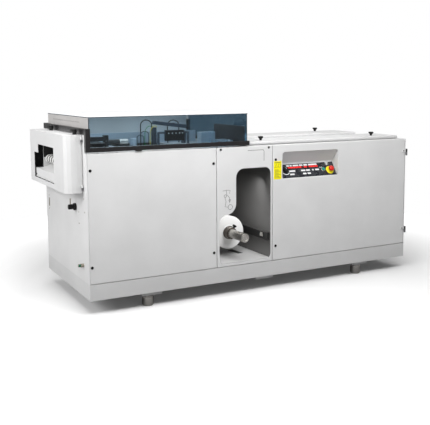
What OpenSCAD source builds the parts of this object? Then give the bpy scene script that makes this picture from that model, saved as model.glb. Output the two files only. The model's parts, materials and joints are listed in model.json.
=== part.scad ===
// Floor-standing film wrapping machine. Lengths in millimetres.
// X runs along the operator's side from the discharge end, Y runs to the back, Z is up.
// Positions are measured from the left end, the front face and the underside of the base;
// in_frame() then carries them to the origin at the bottom centre of the machine.

/* [Cabinet] */
// Length of the cabinet
cabinet_l = 2540; // [2520:5:2600]
// Depth of the cabinet
cabinet_d = 980; // [975:1:1000]
// Height of the deck above the underside of the base
deck_h = 920; // [915:1:930]
// Height of the base skirt
skirt_h = 103; // [100:1:106]
// Gap under the base that the feet bridge
leg_gap = 95; // [90:1:110]
// Thickness of the sheet-metal walls
sheet_t = 3; // [2:0.5:4]

/* [Front panels] */
// Joint between the left and the centre panel
left_seam_x = 893; // [888:1:898]
// Joint between the centre panel and the door
door_seam_x = 1333; // [1330:1:1338]
// Width of the gap at each joint
seam_w = 4; // [3:0.5:5]
// Depth of the folded edges of the panels
panel_fold = 18; // [14:1:20]

/* [Canopy] */
// Height of the canopy's top above the base
canopy_h = 1145; // [1140:1:1160]
// Length of the canopy
canopy_l = 1150; // [1148:1:1152]
// Height of the black bars
canopy_bar = 28; // [24:1:32]
// Thickness of the canopy sheets
canopy_t = 4; // [3:0.5:5]

/* [Film] */
// Height of the film spindle above the base
spindle_z = 287; // [280:1:295]
// Diameter of the film spindle
spindle_d = 62; // [56:1:66]
// Diameter of the film reel
reel_d = 236; // [180:2:240]
// Width of the film on the reel
reel_w = 350; // [250:5:360]

/* [Hand parts] */
// Diameter of the star knobs on the covers
star_knob_d = 40; // [34:1:44]
// Diameter of the speed knob
speed_knob_d = 50; // [40:1:52]
// Diameter of the emergency stop head
stop_head_d = 42; // [38:1:48]
// Radial clearance of every running fit
fit_gap = 0.05; // [0.02:0.01:0.08]

/* [Hidden] */
$fn = 64;
eps = 0.01;
foot_d = 76;
foot_stem_d = 20;
plate_t = 25;
skirt_t = 5;
cross_member_xs = [358, 1215, 2065];
front_foot_y = 60;
rear_foot_y = cabinet_d - 60;
left_foot_x = 408;
right_foot_x = 2115;
wall_top_z = 1036;                       // top of the raised end wall under the canopy bar
bar_top_z = wall_top_z + 38;
canopy_front_y = -5;
canopy_left_x = -5;
canopy_right_x = canopy_left_x + canopy_l;
sheet_left_x = 18;
sheet_right_x = canopy_right_x - 11;
canopy_hinge_y = cabinet_d + 10;
canopy_hinge_z = wall_top_z;
hinge_r = 6;
guard_x = -112;                          // outer face of the discharge guard
guard_y0 = 80;
guard_y1 = 955;
guard_z0 = 673;
guard_z1 = 1033;
guard_hinge_x = -8;
guard_hinge_y = guard_y0 - 8;
guard_hinge_zs = [691, 990];
catch_x = -26;
catch_ys = [150, 700];
canopy_hinge_xs = [120, 980];
door_hinge_x = cabinet_l + 7;
door_hinge_y = -3;
door_hinge_r = 7;
door_right_x = cabinet_l - 7;
hinge_zs = [187, 791];                   // lower ends of the two door hinges
hinge_len = 50;
spindle_x = 1113;
reel_y0 = 234;
back_plate_y = 650;
bay_right_x = 1326;
bay_left_x = 880;
bay_floor_z = 124;
slope_y0 = 6;                            // the control panel's lower edge
slope_z0 = 681;
slope_angle = 55;
slope_l = 120;
panel_seat = 2.12 / cos(slope_angle);    // height that the panel's thickness takes above the tray
knob_spot = [1466, 62];                  // places on the slope, along it and up it
start_spot = [1789, 51];
stop_spot = [1843, 42];
stop_collar_d = 62;
cover_gap = 5;
front_cover_h = 25;
rear_cover_h = 42;
tray_x0 = 1414;
tray_x1 = 1898;
front_knobs = [[1329, 155], [2310, 135]];
rear_knobs = [[2115, 600]];
star_stem_d = 10;
isolator_x = cabinet_l + 36;
// Limits of the whole machine, whose bottom centre is the origin
low_x = guard_x;
high_x = isolator_x;
low_y = door_hinge_y - door_hinge_r;
high_y = canopy_hinge_y + hinge_r;
mid_x = (low_x + high_x) / 2;
mid_y = (low_y + high_y) / 2;

light_grey = [0.87, 0.87, 0.87];
black = [0.07, 0.07, 0.07];
steel = [0.7, 0.7, 0.72];

// ---------------------------------------------------------------- helpers
module in_frame() translate([-mid_x, -mid_y, leg_gap]) children();
module block(lo, hi) translate(lo) cube(hi - lo);
module rod_x(x0, x1, y, z, d) translate([x0, y, z]) rotate([0, 90, 0]) cylinder(h = x1 - x0, d = d);
module rod_y(y0, y1, x, z, d) translate([x, y0, z]) rotate([-90, 0, 0]) cylinder(h = y1 - y0, d = d);
module rod_z(z0, z1, x, y, d) translate([x, y, z0]) cylinder(h = z1 - z0, d = d);
module ring_y(y0, y1, x, z, d_out, d_in) difference() {
    rod_y(y0, y1, x, z, d_out);
    rod_y(y0 - 1, y1 + 1, x, z, d_in);
}
// Rounded rectangle with a corner radius of its own at each corner: lower left, lower right, upper right, upper left
module soft_rect(x0, z0, x1, z1, r) {
    difference() {
        translate([x0, z0]) square([x1 - x0, z1 - z0]);
        for (c = [[x0, z0, r[0], 1, 1], [x1, z0, r[1], -1, 1], [x1, z1, r[2], -1, -1], [x0, z1, r[3], 1, -1]])
            translate([c[0], c[1]]) difference() {
                translate([c[3] < 0 ? -c[2] : 0, c[4] < 0 ? -c[2] : 0]) square(c[2]);
                translate([c[3] * c[2], c[4] * c[2]]) circle(r = c[2]);
            }
    }
}
// An outline drawn in X and Z, made solid from y0 to y1
module wall_y(y0, y1) translate([0, y1, 0]) rotate([90, 0, 0]) linear_extrude(y1 - y0) children();
// A front panel: a face with folded edges all round, open at the back
module folded_panel(x0, x1, z0, z1) difference() {
    block([x0, 0, z0], [x1, panel_fold, z1]);
    block([x0 + 2, 2, z0 + 2], [x1 - 2, panel_fold + 1, z1 - 2]);
}
// A slotted quarter-turn lock seen from the front
module turn_lock(x, z) difference() {
    union() {
        rod_y(-3, -0.01, x, z, 19);
        rod_y(-1, 14, x, z, 9);
    }
    block([x - 7, -4, z - 1.2], [x + 7, -1.6, z + 1.2]);
}
module lock_hole(x, z) rod_y(-1, 5, x, z, 9 + 2 * fit_gap);
module foot(x, y) {
    translate([0, 0, -leg_gap]) {
        rod_z(6, leg_gap - plate_t - 0.3, x, y, foot_d);
        rod_z(0, 6.5, x, y, foot_d - 6);
        rod_z(leg_gap - plate_t - 1, leg_gap + 60, x, y, foot_stem_d);
    }
}
module star_knob(p, z) {
    translate([p[0], p[1], z]) {
        rotate_extrude() polygon([[0, 0.3], [9, 0.3], [9, 9], [14, 20], [14, 29], [0, 29]]);
        for (a = [0:60:300]) rotate(a) translate([star_knob_d / 2 - 6, 0, 15]) cylinder(h = 14, d = 12);
        translate([0, 0, -28]) cylinder(h = 29, d = star_stem_d);
    }
}
// Carries children to the sloping control panel: u along it, v up the slope, w out of it
module on_slope(u, v, w = 0) translate([u, slope_y0, slope_z0]) rotate([slope_angle, 0, 0])
    translate([0, v, w]) children();
module on_spot(spot) on_slope(spot[0], spot[1]) children();

// ---------------------------------------------------------------- base and feet
module base_frame() color([0.78, 0.78, 0.78]) in_frame() difference() {
    union() {
        difference() {
            block([0, 0, 0], [cabinet_l, cabinet_d, skirt_h]);
            block([skirt_t, skirt_t, -1], [cabinet_l - skirt_t, cabinet_d - skirt_t, skirt_h - skirt_t]);
        }
        for (x = cross_member_xs) {
            block([x, 30, -plate_t], [x + 140, cabinet_d - 30, 0.1]);
            block([x + 15, skirt_t - 1, 0], [x + 95, cabinet_d - skirt_t + 1, skirt_h - 1]);
        }
    }
    for (x = cross_member_xs) block([x + 20, 110, 5], [x + 90, cabinet_d - 110, skirt_h - skirt_t - 1]);
    for (x = [left_foot_x, right_foot_x], y = [front_foot_y, rear_foot_y]) {
        rod_z(-plate_t - 1, 1, x, y, foot_stem_d + 2 * fit_gap);
        rod_z(0.5, skirt_h - skirt_t, x, y, foot_stem_d + 8);
    }
}
module foot_front_left() color(steel) in_frame() foot(left_foot_x, front_foot_y);
module foot_front_right() color(steel) in_frame() foot(right_foot_x, front_foot_y);
module foot_rear_left() color(steel) in_frame() foot(left_foot_x, rear_foot_y);
module foot_rear_right() color(steel) in_frame() foot(right_foot_x, rear_foot_y);

// ---------------------------------------------------------------- cabinet walls
module left_end_wall() color(light_grey) in_frame() difference() {
    union() {
        block([0, 30, skirt_h], [sheet_t, cabinet_d, wall_top_z - 1]);
        block([0, 0, skirt_h], [sheet_t, 31, deck_h]);
        block([0, cabinet_d - 20, skirt_h], [22, cabinet_d - 17, wall_top_z - 1]);
    }
    block([-1, 330, 700], [sheet_t + 1, 855, 960]);
    rod_x(-1, sheet_t + 1, 253, 564, 12 + 2 * fit_gap);
}
module right_end_wall() color(light_grey) in_frame() {
    difference() {
        block([cabinet_l - sheet_t, 0, skirt_h], [cabinet_l, cabinet_d, deck_h]);
        for (i = [0:9]) block([cabinet_l - 5, 560, 180 + 22 * i], [cabinet_l + 1, 820, 188 + 22 * i]);
        rod_x(cabinet_l - 5, cabinet_l + 1, 500, 640, 10 + 2 * fit_gap);
    }
    translate([cabinet_l - 1, 860, 160]) rotate([0, 90, 0]) cylinder(h = 9, d = 40, $fn = 6);
    rod_x(cabinet_l + 7, cabinet_l + 26, 860, 160, 30);
}
module rear_panels() color(light_grey) in_frame() {
    difference() {
        block([sheet_t + 1, cabinet_d - 16, skirt_h + 1], [canopy_right_x, cabinet_d - 1, wall_top_z - 2]);
        block([sheet_t + 4, cabinet_d - 17, skirt_h + 4], [canopy_right_x - 3, cabinet_d - 4, wall_top_z - 5]);
        for (i = [0:7]) block([420, cabinet_d - 6, 250 + 24 * i], [720, cabinet_d + 1, 259 + 24 * i]);
    }
    difference() {
        block([canopy_right_x + 3, cabinet_d - 16, skirt_h + 1], [cabinet_l - 4, cabinet_d - 1, deck_h - 22]);
        block([canopy_right_x + 6, cabinet_d - 17, skirt_h + 4], [cabinet_l - 7, cabinet_d - 4, deck_h - 25]);
        for (i = [0:7]) block([1700, cabinet_d - 6, 250 + 24 * i], [2000, cabinet_d + 1, 259 + 24 * i]);
    }
}
module deck_plate() color(light_grey) in_frame() {
    difference() {
        block([canopy_right_x + 1, panel_fold + 2, deck_h - 20], [cabinet_l - sheet_t, cabinet_d, deck_h]);
        block([canopy_right_x + 4, panel_fold + 5, deck_h - 21], [cabinet_l - 6, cabinet_d - 18, deck_h - sheet_t]);
        block([1380, 80, deck_h - 10], [2250, 320, deck_h + 1]);
        block([1210, 380, deck_h - 10], [2060, 610, deck_h + 1]);
        for (p = concat(front_knobs, rear_knobs)) rod_z(deck_h - 10, deck_h + 1, p[0], p[1], 14);
    }
    for (p = front_knobs) cover_boss(p, front_cover_h);
    for (p = rear_knobs) cover_boss(p, rear_cover_h);
    cover_lips(1160, 2490, 60, 338, front_cover_h);
    cover_lips(1160, 2325, 361, 630, rear_cover_h);
}
// The lips that a cover's top rests on
module cover_lips(x0, x1, y0, y1, h) for (y = [y0, y1 - 4])
    block([x0, y, deck_h + eps], [x1, y + 4, deck_h + h - 2]);
// The boss that a cover's star knob screws into
module cover_boss(p, h) difference() {
    rod_z(deck_h - sheet_t, deck_h + h - 16, p[0], p[1], 22);
    rod_z(deck_h - sheet_t - 1, deck_h + h, p[0], p[1], star_stem_d + 2 * fit_gap);
}
module wrapping_table() color([0.8, 0.82, 0.84]) in_frame() difference() {
    block([sheet_t + 1, 25, deck_h - 18], [canopy_right_x, cabinet_d - 21, deck_h]);
    block([20, 45, deck_h - 19], [canopy_right_x - 18, cabinet_d - 40, deck_h - 6]);
    block([360, 480, deck_h - 10], [760, 760, deck_h + 1]);
}

// ---------------------------------------------------------------- film bay
module bay_side_wall() color([0.33, 0.33, 0.32]) in_frame() difference() {
    block([bay_right_x, 22, skirt_h + 1], [bay_right_x + sheet_t, back_plate_y, deck_h - 22]);
    block([bay_right_x - 1, 560, 500], [bay_right_x + 5, 600, 560]);
}
module bay_floor() color([0.6, 0.6, 0.6]) in_frame() difference() {
    block([bay_left_x, 20, skirt_h + 1], [bay_right_x - 0.5, back_plate_y - 0.5, bay_floor_z]);
    block([bay_left_x + 4, 24, skirt_h], [bay_right_x - 4, back_plate_y - 4, bay_floor_z - 3]);
    translate([1190, 282, bay_floor_z]) rotate(-79) cube([100, 12, 12], center = true);
}
module bay_back_plate() color([0.35, 0.35, 0.35]) in_frame() {
    difference() {
        union() {
            block([bay_left_x, back_plate_y, skirt_h + 1], [bay_right_x + sheet_t, back_plate_y + 12, deck_h - 22]);
            block([bay_left_x - 3, 22, skirt_h + 1], [bay_left_x - 0.5, back_plate_y + 12, deck_h - 22]);
            rod_y(back_plate_y - 18, back_plate_y + 60, spindle_x, spindle_z, 130);
            rod_y(back_plate_y - 16, back_plate_y + 14, 985, 640, 52);
        }
        rod_y(back_plate_y - 20, back_plate_y + 62, spindle_x, spindle_z, 40 + 2 * fit_gap);
        rod_y(back_plate_y - 20, back_plate_y + 20, 985, 640, 24 + 2 * fit_gap);
    }
}
module bay_rail() color(black) in_frame() {
    block([bay_right_x - 26, 60, 250], [bay_right_x, 600, 296]);
    for (y = [420, 470, 520]) block([bay_right_x - 34, y, 262], [bay_right_x - 26, y + 26, 300]);
    block([bay_right_x - 29, 76, 266], [bay_right_x - 26, 106, 280]);
}
module film_spindle() color(steel) in_frame() {
    difference() {
        rod_y(0, back_plate_y - 19, spindle_x, spindle_z, spindle_d);
        rod_y(-1, 6, spindle_x, spindle_z, spindle_d - 16);
    }
    rod_y(3, 8, spindle_x, spindle_z, 26);
    rod_y(back_plate_y - 20, back_plate_y + 80, spindle_x, spindle_z, 40);
    rod_y(back_plate_y + 61, back_plate_y + 80, spindle_x, spindle_z, 90);
    rod_y(595, 607, spindle_x, spindle_z, 150);
}
module film_reel() color([0.95, 0.95, 0.94]) in_frame()
    ring_y(reel_y0, reel_y0 + reel_w, spindle_x, spindle_z, reel_d, spindle_d + 14);
module reel_collar() color([0.45, 0.43, 0.4]) in_frame() {
    difference() {
        union() {
            rod_y(reel_y0 - 8, reel_y0 - 0.3, spindle_x, spindle_z, 96);
            rod_y(reel_y0 - 44, reel_y0 - 7, spindle_x, spindle_z, 84);
            rod_y(reel_y0 - 1, reel_y0 + reel_w - 2, spindle_x, spindle_z, spindle_d + 13.6);
        }
        rod_y(reel_y0 - 50, reel_y0 + reel_w + 2, spindle_x, spindle_z, spindle_d + 2 * fit_gap);
        translate([spindle_x, reel_y0 - 26, spindle_z]) rotate([0, 90 - 56, 0]) cylinder(h = 60, d = 8 + 2 * fit_gap);
    }
}
module collar_knob() color(black) in_frame()
    translate([spindle_x, reel_y0 - 26, spindle_z]) rotate([0, 90 - 56, 0]) {
        translate([0, 0, 33]) cylinder(h = 17, d = 8);
        translate([0, 0, 43]) cylinder(h = 8, d = 16);
        translate([0, 0, 51]) linear_extrude(13) {
            circle(d = 22);
            for (a = [0:72:288]) rotate(a) translate([10.5, 0]) circle(d = 11);
        }
    }
module dancer_arm() color([0.3, 0.3, 0.3]) in_frame() {
    rod_y(back_plate_y - 60, back_plate_y + 30, 985, 640, 24);
    difference() {
        hull() {
            rod_y(back_plate_y - 44, back_plate_y - 32, 985, 640, 50);
            rod_y(back_plate_y - 44, back_plate_y - 32, 1120, 470, 34);
        }
        rod_y(back_plate_y - 50, back_plate_y - 20, 1120, 470, 16);
    }
    rod_y(back_plate_y - 400, back_plate_y - 32, 1120, 470, 16);
}
module dancer_roller() color(steel) in_frame()
    ring_y(back_plate_y - 398, back_plate_y - 46, 1120, 470, 42, 16 + 2 * fit_gap);

// ---------------------------------------------------------------- front panels
module bay_opening() {
    soft_rect(912, 123, 1317, 461, [32, 40, eps, 54]);
    soft_rect(1042, 400, 1317, 771, [eps, eps, 45, 60]);
    difference() {
        translate([960, 455]) square([90, 81]);
        translate([967, 536]) circle(r = 75);
        translate([959, 461]) square([8, 90]);
    }
}
module centre_panel() color(light_grey) in_frame() difference() {
    folded_panel(left_seam_x + seam_w / 2, door_seam_x - seam_w / 2, skirt_h + 3, deck_h);
    wall_y(-1, 3) bay_opening();
    for (p = [[925, 906], [1301, 906]]) rod_y(-1, 4, p[0], p[1], 8);
}
module centre_panel_screws() color(black) in_frame() for (p = [[925, 906], [1301, 906]]) {
    rod_y(-3, -0.01, p[0], p[1], 17);
    rod_y(-1, 12, p[0], p[1], 7.6);
}
left_lock_places = [[20, 817], [870, 817], [18, 212], [870, 212]];
door_lock_places = [[1358, 818], [1358, 208]];
module left_panel() color(light_grey) in_frame() difference() {
    folded_panel(sheet_t + 1, left_seam_x - seam_w / 2, skirt_h + 3, deck_h);
    for (p = left_lock_places) lock_hole(p[0], p[1]);
}
module left_panel_locks() color(black) in_frame() for (p = left_lock_places) turn_lock(p[0], p[1]);
module door_locks() color(black) in_frame() for (p = door_lock_places) turn_lock(p[0], p[1]);
module right_door() color(light_grey) in_frame() {
    difference() {
        folded_panel(door_seam_x + seam_w / 2, door_right_x, skirt_h + 3, deck_h);
        for (p = door_lock_places) lock_hole(p[0], p[1]);
        wall_y(-1, 3) soft_rect(tray_x0, slope_z0 - panel_seat, tray_x1, 868, [18, 18, 22, 22]);
    }
    for (z = hinge_zs) difference() {
        union() {
            rod_z(z + hinge_len / 2, z + hinge_len, door_hinge_x, door_hinge_y, 2 * door_hinge_r);
            block([door_right_x - 26, -3, z + hinge_len / 2], [door_right_x, 0.1, z + hinge_len]);
            block([door_right_x - 1, -3, z + hinge_len / 2], [door_hinge_x - 5, -0.5, z + hinge_len]);
        }
        rod_z(z, z + hinge_len - 3, door_hinge_x, door_hinge_y, 8 + 2 * fit_gap);
    }
}
module fixed_hinges() color([0.25, 0.25, 0.25]) in_frame() {
    for (z = hinge_zs) {
        rod_z(z, z + hinge_len / 2 - 0.3, door_hinge_x, door_hinge_y, 2 * door_hinge_r);
        rod_z(z + 1, z + hinge_len - 4, door_hinge_x, door_hinge_y, 8);
        block([cabinet_l + 0.01, -4, z], [cabinet_l + 3, 36, z + hinge_len / 2 - 0.3]);
    }
    for (x = canopy_hinge_xs) {
        rod_x(x - 20, x + 80, canopy_hinge_y, canopy_hinge_z, 6);
        for (end = [x - 20, x + 60.5]) {
            rod_x(end, end + 19.5, canopy_hinge_y, canopy_hinge_z, 2 * hinge_r);
            block([end, cabinet_d - 0.99, canopy_hinge_z - 40], [end + 19.5, cabinet_d + 4, canopy_hinge_z - 1]);
            block([end, cabinet_d + 3, canopy_hinge_z - 12], [end + 19.5, canopy_hinge_y, canopy_hinge_z - 1]);
        }
    }
    for (z = guard_hinge_zs) {
        rod_z(z, z + 15.9, guard_hinge_x, guard_hinge_y, 12);
        rod_z(z + 1, z + 29, guard_hinge_x, guard_hinge_y, 6);
        block([guard_hinge_x, guard_hinge_y - 6, z], [-0.01, guard_hinge_y + 6, z + 15.9]);
    }
}

// ---------------------------------------------------------------- controls
module control_tray() color([0.8, 0.8, 0.8]) in_frame() {
    bottom_y = slope_y0 + slope_l * cos(slope_angle);
    bottom_z = slope_z0 + slope_l * sin(slope_angle);
    difference() {
        block([tray_x0 - 12, 2.1, 672], [tray_x1 + 12, bottom_y + 3, 880]);
        translate([tray_x0, 0, 0]) rotate([90, 0, 90]) linear_extrude(tray_x1 - tray_x0)
            polygon([[1, slope_z0 - panel_seat], [slope_y0, slope_z0 - panel_seat], [bottom_y, bottom_z - panel_seat],
                [bottom_y, bottom_z + 2], [6, 868], [1, 868]]);
        translate([tray_x0 - 13, 0, 0]) rotate([90, 0, 90]) linear_extrude(tray_x1 - tray_x0 + 26) {
            polygon([[8, 671], [bottom_y + 4, 671], [bottom_y + 4, bottom_z - 8]]);
            polygon([[10, 881], [bottom_y + 4, 881], [bottom_y + 4, bottom_z + 6], [bottom_y - 1, bottom_z + 6]]);
        }
        on_spot(knob_spot) cylinder(h = 40, d = 16, center = true);
        on_spot(start_spot) cylinder(h = 40, d = 22, center = true);
        on_spot(stop_spot) cylinder(h = 40, d = 26, center = true);
    }
}
module control_panel() color([0.12, 0.12, 0.14]) in_frame() difference() {
    on_slope(tray_x0 + 1, 1, -2) cube([tray_x1 - tray_x0 - 2, slope_l - 4, 2]);
    on_spot(knob_spot) cylinder(h = 12, d = 8 + 2 * fit_gap, center = true);
    on_spot(start_spot) cylinder(h = 12, d = 16 + 2 * fit_gap, center = true);
    on_spot(stop_spot) cylinder(h = 12, d = 20 + 2 * fit_gap, center = true);
}
module display_window() color([0.6, 0.1, 0.1]) in_frame() on_slope(1491, 74, 0.01) cube([262, 14, 1.2]);
module speed_knob() color(black) in_frame() on_spot(knob_spot) difference() {
    union() {
        translate([0, 0, 0.3]) cylinder(h = 4, d = speed_knob_d);
        translate([0, 0, 4]) cylinder(h = 16, d1 = speed_knob_d - 6, d2 = speed_knob_d - 12);
        translate([0, 0, -14]) cylinder(h = 15, d = 8);
    }
    translate([0, 8, 19]) cube([3, 18, 4], center = true);
}
module start_button() color([0.1, 0.55, 0.45]) in_frame() on_spot(start_spot) {
    translate([0, 0, 5]) cylinder(h = 5, d = 24);
    translate([0, 0, -14]) cylinder(h = 20, d = 16);
}
module stop_collar() color([0.95, 0.8, 0.05]) in_frame() on_spot(stop_spot) difference() {
    union() {
        translate([0, 0, 0.01]) cylinder(h = 3, d = stop_collar_d);
        translate([0, 0, 2]) cylinder(h = 10, d1 = 42, d2 = 34);
    }
    translate([0, 0, -1]) cylinder(h = 20, d = 20 + 2 * fit_gap);
}
module stop_head() color([0.85, 0.1, 0.05]) in_frame() on_spot(stop_spot) {
    translate([0, 0, -14]) cylinder(h = 40, d = 20);
    translate([0, 0, 20]) rotate_extrude()
        polygon([[0, 0], [stop_head_d / 2 - 3, 0], [stop_head_d / 2, 5], [stop_head_d / 2 - 2, 12],
            [stop_head_d / 2 - 8, 17], [0, 20]]);
}

// ---------------------------------------------------------------- covers on the deck
module flat_cover(x0, x1, y0, y1, h, holes) difference() {
    block([x0, y0, deck_h + cover_gap], [x1, y1, deck_h + h]);
    block([x0 + 2, y0 + 2, deck_h], [x1 - 2, y1 - 2, deck_h + h - 2]);
    for (p = holes) rod_z(deck_h, deck_h + h + 1, p[0], p[1], star_stem_d + 2 * fit_gap);
}
module front_top_cover() color(light_grey) in_frame()
    flat_cover(canopy_right_x + 2, 2500, 50, 348, front_cover_h, front_knobs);
module rear_top_cover() color(light_grey) in_frame()
    flat_cover(canopy_right_x + 2, 2335, 351, 640, rear_cover_h, rear_knobs);
module star_knob_left() color(black) in_frame() star_knob(front_knobs[0], deck_h + front_cover_h);
module star_knob_right() color(black) in_frame() star_knob(front_knobs[1], deck_h + front_cover_h);
module star_knob_rear() color(black) in_frame() star_knob(rear_knobs[0], deck_h + rear_cover_h);

// ---------------------------------------------------------------- canopy
module canopy_frame() color(black) in_frame() {
    x0 = canopy_left_x;
    x1 = canopy_right_x;
    block([x0, canopy_front_y, deck_h + 10], [x1, 25, deck_h + 10 + canopy_bar]);
    block([x0, canopy_front_y, deck_h + 10], [25, 25, bar_top_z]);
    block([x0, canopy_front_y, wall_top_z], [25, cabinet_d + 3.5, bar_top_z]);
    block([x0, 937, wall_top_z], [x1, cabinet_d + 3.5, bar_top_z]);
    block([x1 - 30, canopy_front_y, deck_h + 10], [x1, 955, deck_h + 10 + canopy_bar]);
    block([x1 - 30, 925, deck_h + 10], [x1, 955, bar_top_z]);
    for (x = canopy_hinge_xs) difference() {
        union() {
            rod_x(x, x + 60, canopy_hinge_y, canopy_hinge_z, 2 * hinge_r);
            block([x, cabinet_d + 3, canopy_hinge_z], [x + 60, cabinet_d + 10, canopy_hinge_z + 20]);
        }
        rod_x(x - 1, x + 61, canopy_hinge_y, canopy_hinge_z, 6 + 2 * fit_gap);
    }
    block([319, -7, deck_h + 4], [359, 10, deck_h + 11]);
    block([x1 - 26, 24, deck_h + 9 + canopy_bar], [x1 - 22, 470, 1057]);
}
module canopy_window() color([0.35, 0.5, 0.62, 0.45]) in_frame() difference() {
    block([sheet_left_x + canopy_t, 6, deck_h + 10 + canopy_bar + 0.1], [sheet_right_x - canopy_t, 6 + canopy_t, canopy_h - canopy_t]);
    block([0, 0, deck_h], [25.1, 30, bar_top_z + 0.1]);
}
module canopy_sheets() color([0.85, 0.86, 0.87]) in_frame() {
    block([sheet_left_x, 6, bar_top_z + 0.1], [sheet_left_x + canopy_t, 937, canopy_h]);
    block([sheet_left_x, 6, canopy_h - canopy_t], [sheet_right_x, 937, canopy_h]);
    block([sheet_right_x - canopy_t, 6, deck_h + 10 + canopy_bar + 0.1], [sheet_right_x, 924.9, canopy_h]);
    block([sheet_left_x, 933, bar_top_z + 0.1], [sheet_right_x, 936.9, canopy_h]);
    block([25.1, 933, deck_h + 11], [canopy_right_x - 31, 936.9, bar_top_z + 0.2]);
}

// ---------------------------------------------------------------- discharge end
module discharge_guard() color(light_grey) in_frame() {
    difference() {
        translate([0, 0, guard_z0]) linear_extrude(guard_z1 - guard_z0)
            polygon([[-3, guard_y0 + 2], [-38, guard_y0 + 2], [-42, guard_y0], [-73, guard_y0], [-95, guard_y0 + 11],
                [guard_x, guard_y0 + 32], [guard_x, guard_y1], [-3, guard_y1]]);
        translate([0, 0, guard_z0 + 3]) linear_extrude(guard_z1 - guard_z0 - 6)
            polygon([[1, guard_y0 + 5], [-37, guard_y0 + 5], [-41, guard_y0 + 3], [-72, guard_y0 + 3],
                [-93, guard_y0 + 13], [guard_x + 3, guard_y0 + 33], [guard_x + 3, guard_y1 - 3], [1, guard_y1 - 3]]);
        translate([guard_x - 1, 0, 0]) rotate([90, 0, 90]) linear_extrude(6) union() {
            translate([340, 705]) square([510, 176]);
            translate([340, 880]) square([402, 60]);
        }
        for (y = catch_ys) rod_z(guard_z1 - 5, guard_z1 + 1, catch_x, y, 8 + 2 * fit_gap);
    }
    for (z = guard_hinge_zs) difference() {
        union() {
            rod_z(z + 16.2, z + 32, guard_hinge_x, guard_hinge_y, 12);
            block([guard_hinge_x - 6, guard_hinge_y, z + 16.2], [-5, guard_y0 + 3, z + 32]);
        }
        rod_z(z, z + 30, guard_hinge_x, guard_hinge_y, 6 + 2 * fit_gap);
    }
}
module guard_catch(y) {
    translate([catch_x, y, guard_z1 + 0.3]) {
        cylinder(h = 18, d = 26);
        hull() {
            translate([0, 0, 16]) cylinder(h = 18, d = 30, $fn = 32);
            translate([-6, 52, 18]) cylinder(h = 14, d = 18, $fn = 32);
        }
        translate([0, 0, -10]) cylinder(h = 11, d = 8);
    }
}
module guard_catch_front() color(black) in_frame() guard_catch(catch_ys[0]);
module guard_catch_rear() color(black) in_frame() guard_catch(catch_ys[1]);
module discharge_roller() color(steel) in_frame() {
    rod_y(350, 735, -38, 838, 50);
    rod_y(331, 754, -38, 838, 14);
}
// One belt's outline: half a ring round the roller and two straight runs into the machine
module belt_outline() {
    difference() {
        circle(r = 28.3);
        circle(r = 25.3);
        translate([0, -30]) square([30, 60]);
    }
    for (z = [-28.3, 25.3]) translate([0, z]) square([260, 3]);
}
module discharge_belts() color([0.93, 0.93, 0.92]) in_frame() for (i = [0:6])
    translate([-38, 396 + 54 * i, 838]) rotate([90, 0, 0]) linear_extrude(34) belt_outline();
module discharge_chute() color([0.9, 0.9, 0.9]) in_frame() difference() {
    union() {
        // Two cheeks that carry the roller, a sloping slide and the apron below it
        block([-72, 330, 706], [-1, 336, 872]);
        block([-72, 749, 706], [-1, 755, 930]);
        translate([0, 756, 0]) rotate([90, 0, 0]) linear_extrude(426)
            polygon([[-1, 800], [-96, 768], [-100, 768], [-100, 706], [-97, 706], [-97, 764], [-1, 796]]);
        block([-96, 755, 764], [-1, 850, 768]);
    }
    rod_y(300, 800, -38, 838, 14 + 2 * fit_gap);
}
module end_wall_fittings() color([0.6, 0.6, 0.6]) in_frame() {
    block([-3, 893, 478], [-0.01, 907, 538]);
    for (p = [[905, 556], [905, 460], [75, 636], [62, 553], [190, 538], [184, 466]]) rod_x(-3, -0.01, p[0], p[1], 10);
    block([-4, 363, 563], [-0.01, 377, 600]);
    rod_x(-20, -0.01, 171, 193, 20);
    rod_x(-30, -0.01, 118, 206, 24);
    rod_x(-44, -28, 118, 206, 16);
}
module grip_knob() color(black) in_frame() {
    rod_x(-15, -1, 253, 564, 48);
    rod_x(-50, -14, 253, 564, 34);
    rod_x(-2, 40, 253, 564, 12);
}

// ---------------------------------------------------------------- wrapping section under the canopy
module guide_rail() color(black) in_frame() {
    block([60, 450, 962], [268, 476, 992]);
    block([268, 444, deck_h], [298, 482, 1002]);
    block([60, 452, deck_h], [90, 474, 963]);
    rod_y(430, 445, 283, 954, 22);
    rod_x(297, 440, 463, 954, 34);
}
module cross_beam() color([0.2, 0.22, 0.25]) in_frame() {
    translate([660, 520, 1062]) rotate([0, 7.6, 0]) cube([262, 30, 26]);
    block([660, 520, deck_h], [684, 550, 1040]);
    block([890, 520, deck_h], [914, 550, 1010]);
    rod_x(640, 880, 400, 1008, 14);
    for (x = [640, 868]) block([x, 392, deck_h], [x + 12, 408, 1012]);
}
module carriage() color(black) in_frame() difference() {
    block([700, 380, 950], [836, 420, 1024]);
    rod_x(690, 850, 400, 1008, 14 + 2 * fit_gap);
}
module table_units() color([0.75, 0.8, 0.85]) in_frame() {
    block([470, 430, deck_h], [502, 500, 972]);
    block([869, 180, deck_h], [898, 240, 1016]);
    block([898, 200, deck_h], [948, 216, 1018]);
    block([948, 180, deck_h], [977, 240, 1018]);
    block([985, 150, deck_h], [1080, 240, 960]);
    rod_y(118, 151, 1070, 946, 30);
    block([100, 700, deck_h], [1080, 720, 1000]);
}
module hoop(x, y, z, w, h, t) translate([x, y, z]) rotate([90, 0, 0]) difference() {
        union() {
            cylinder(h = t, r = w / 2 + t / 2, center = true);
            translate([0, -h / 2, 0]) cube([w + t, h, t], center = true);
        }
        cylinder(h = t + 2, r = w / 2 - t / 2, center = true);
        translate([0, -h / 2 - 1, 0]) cube([w - t, h + 2, t + 2], center = true);
    }
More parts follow.
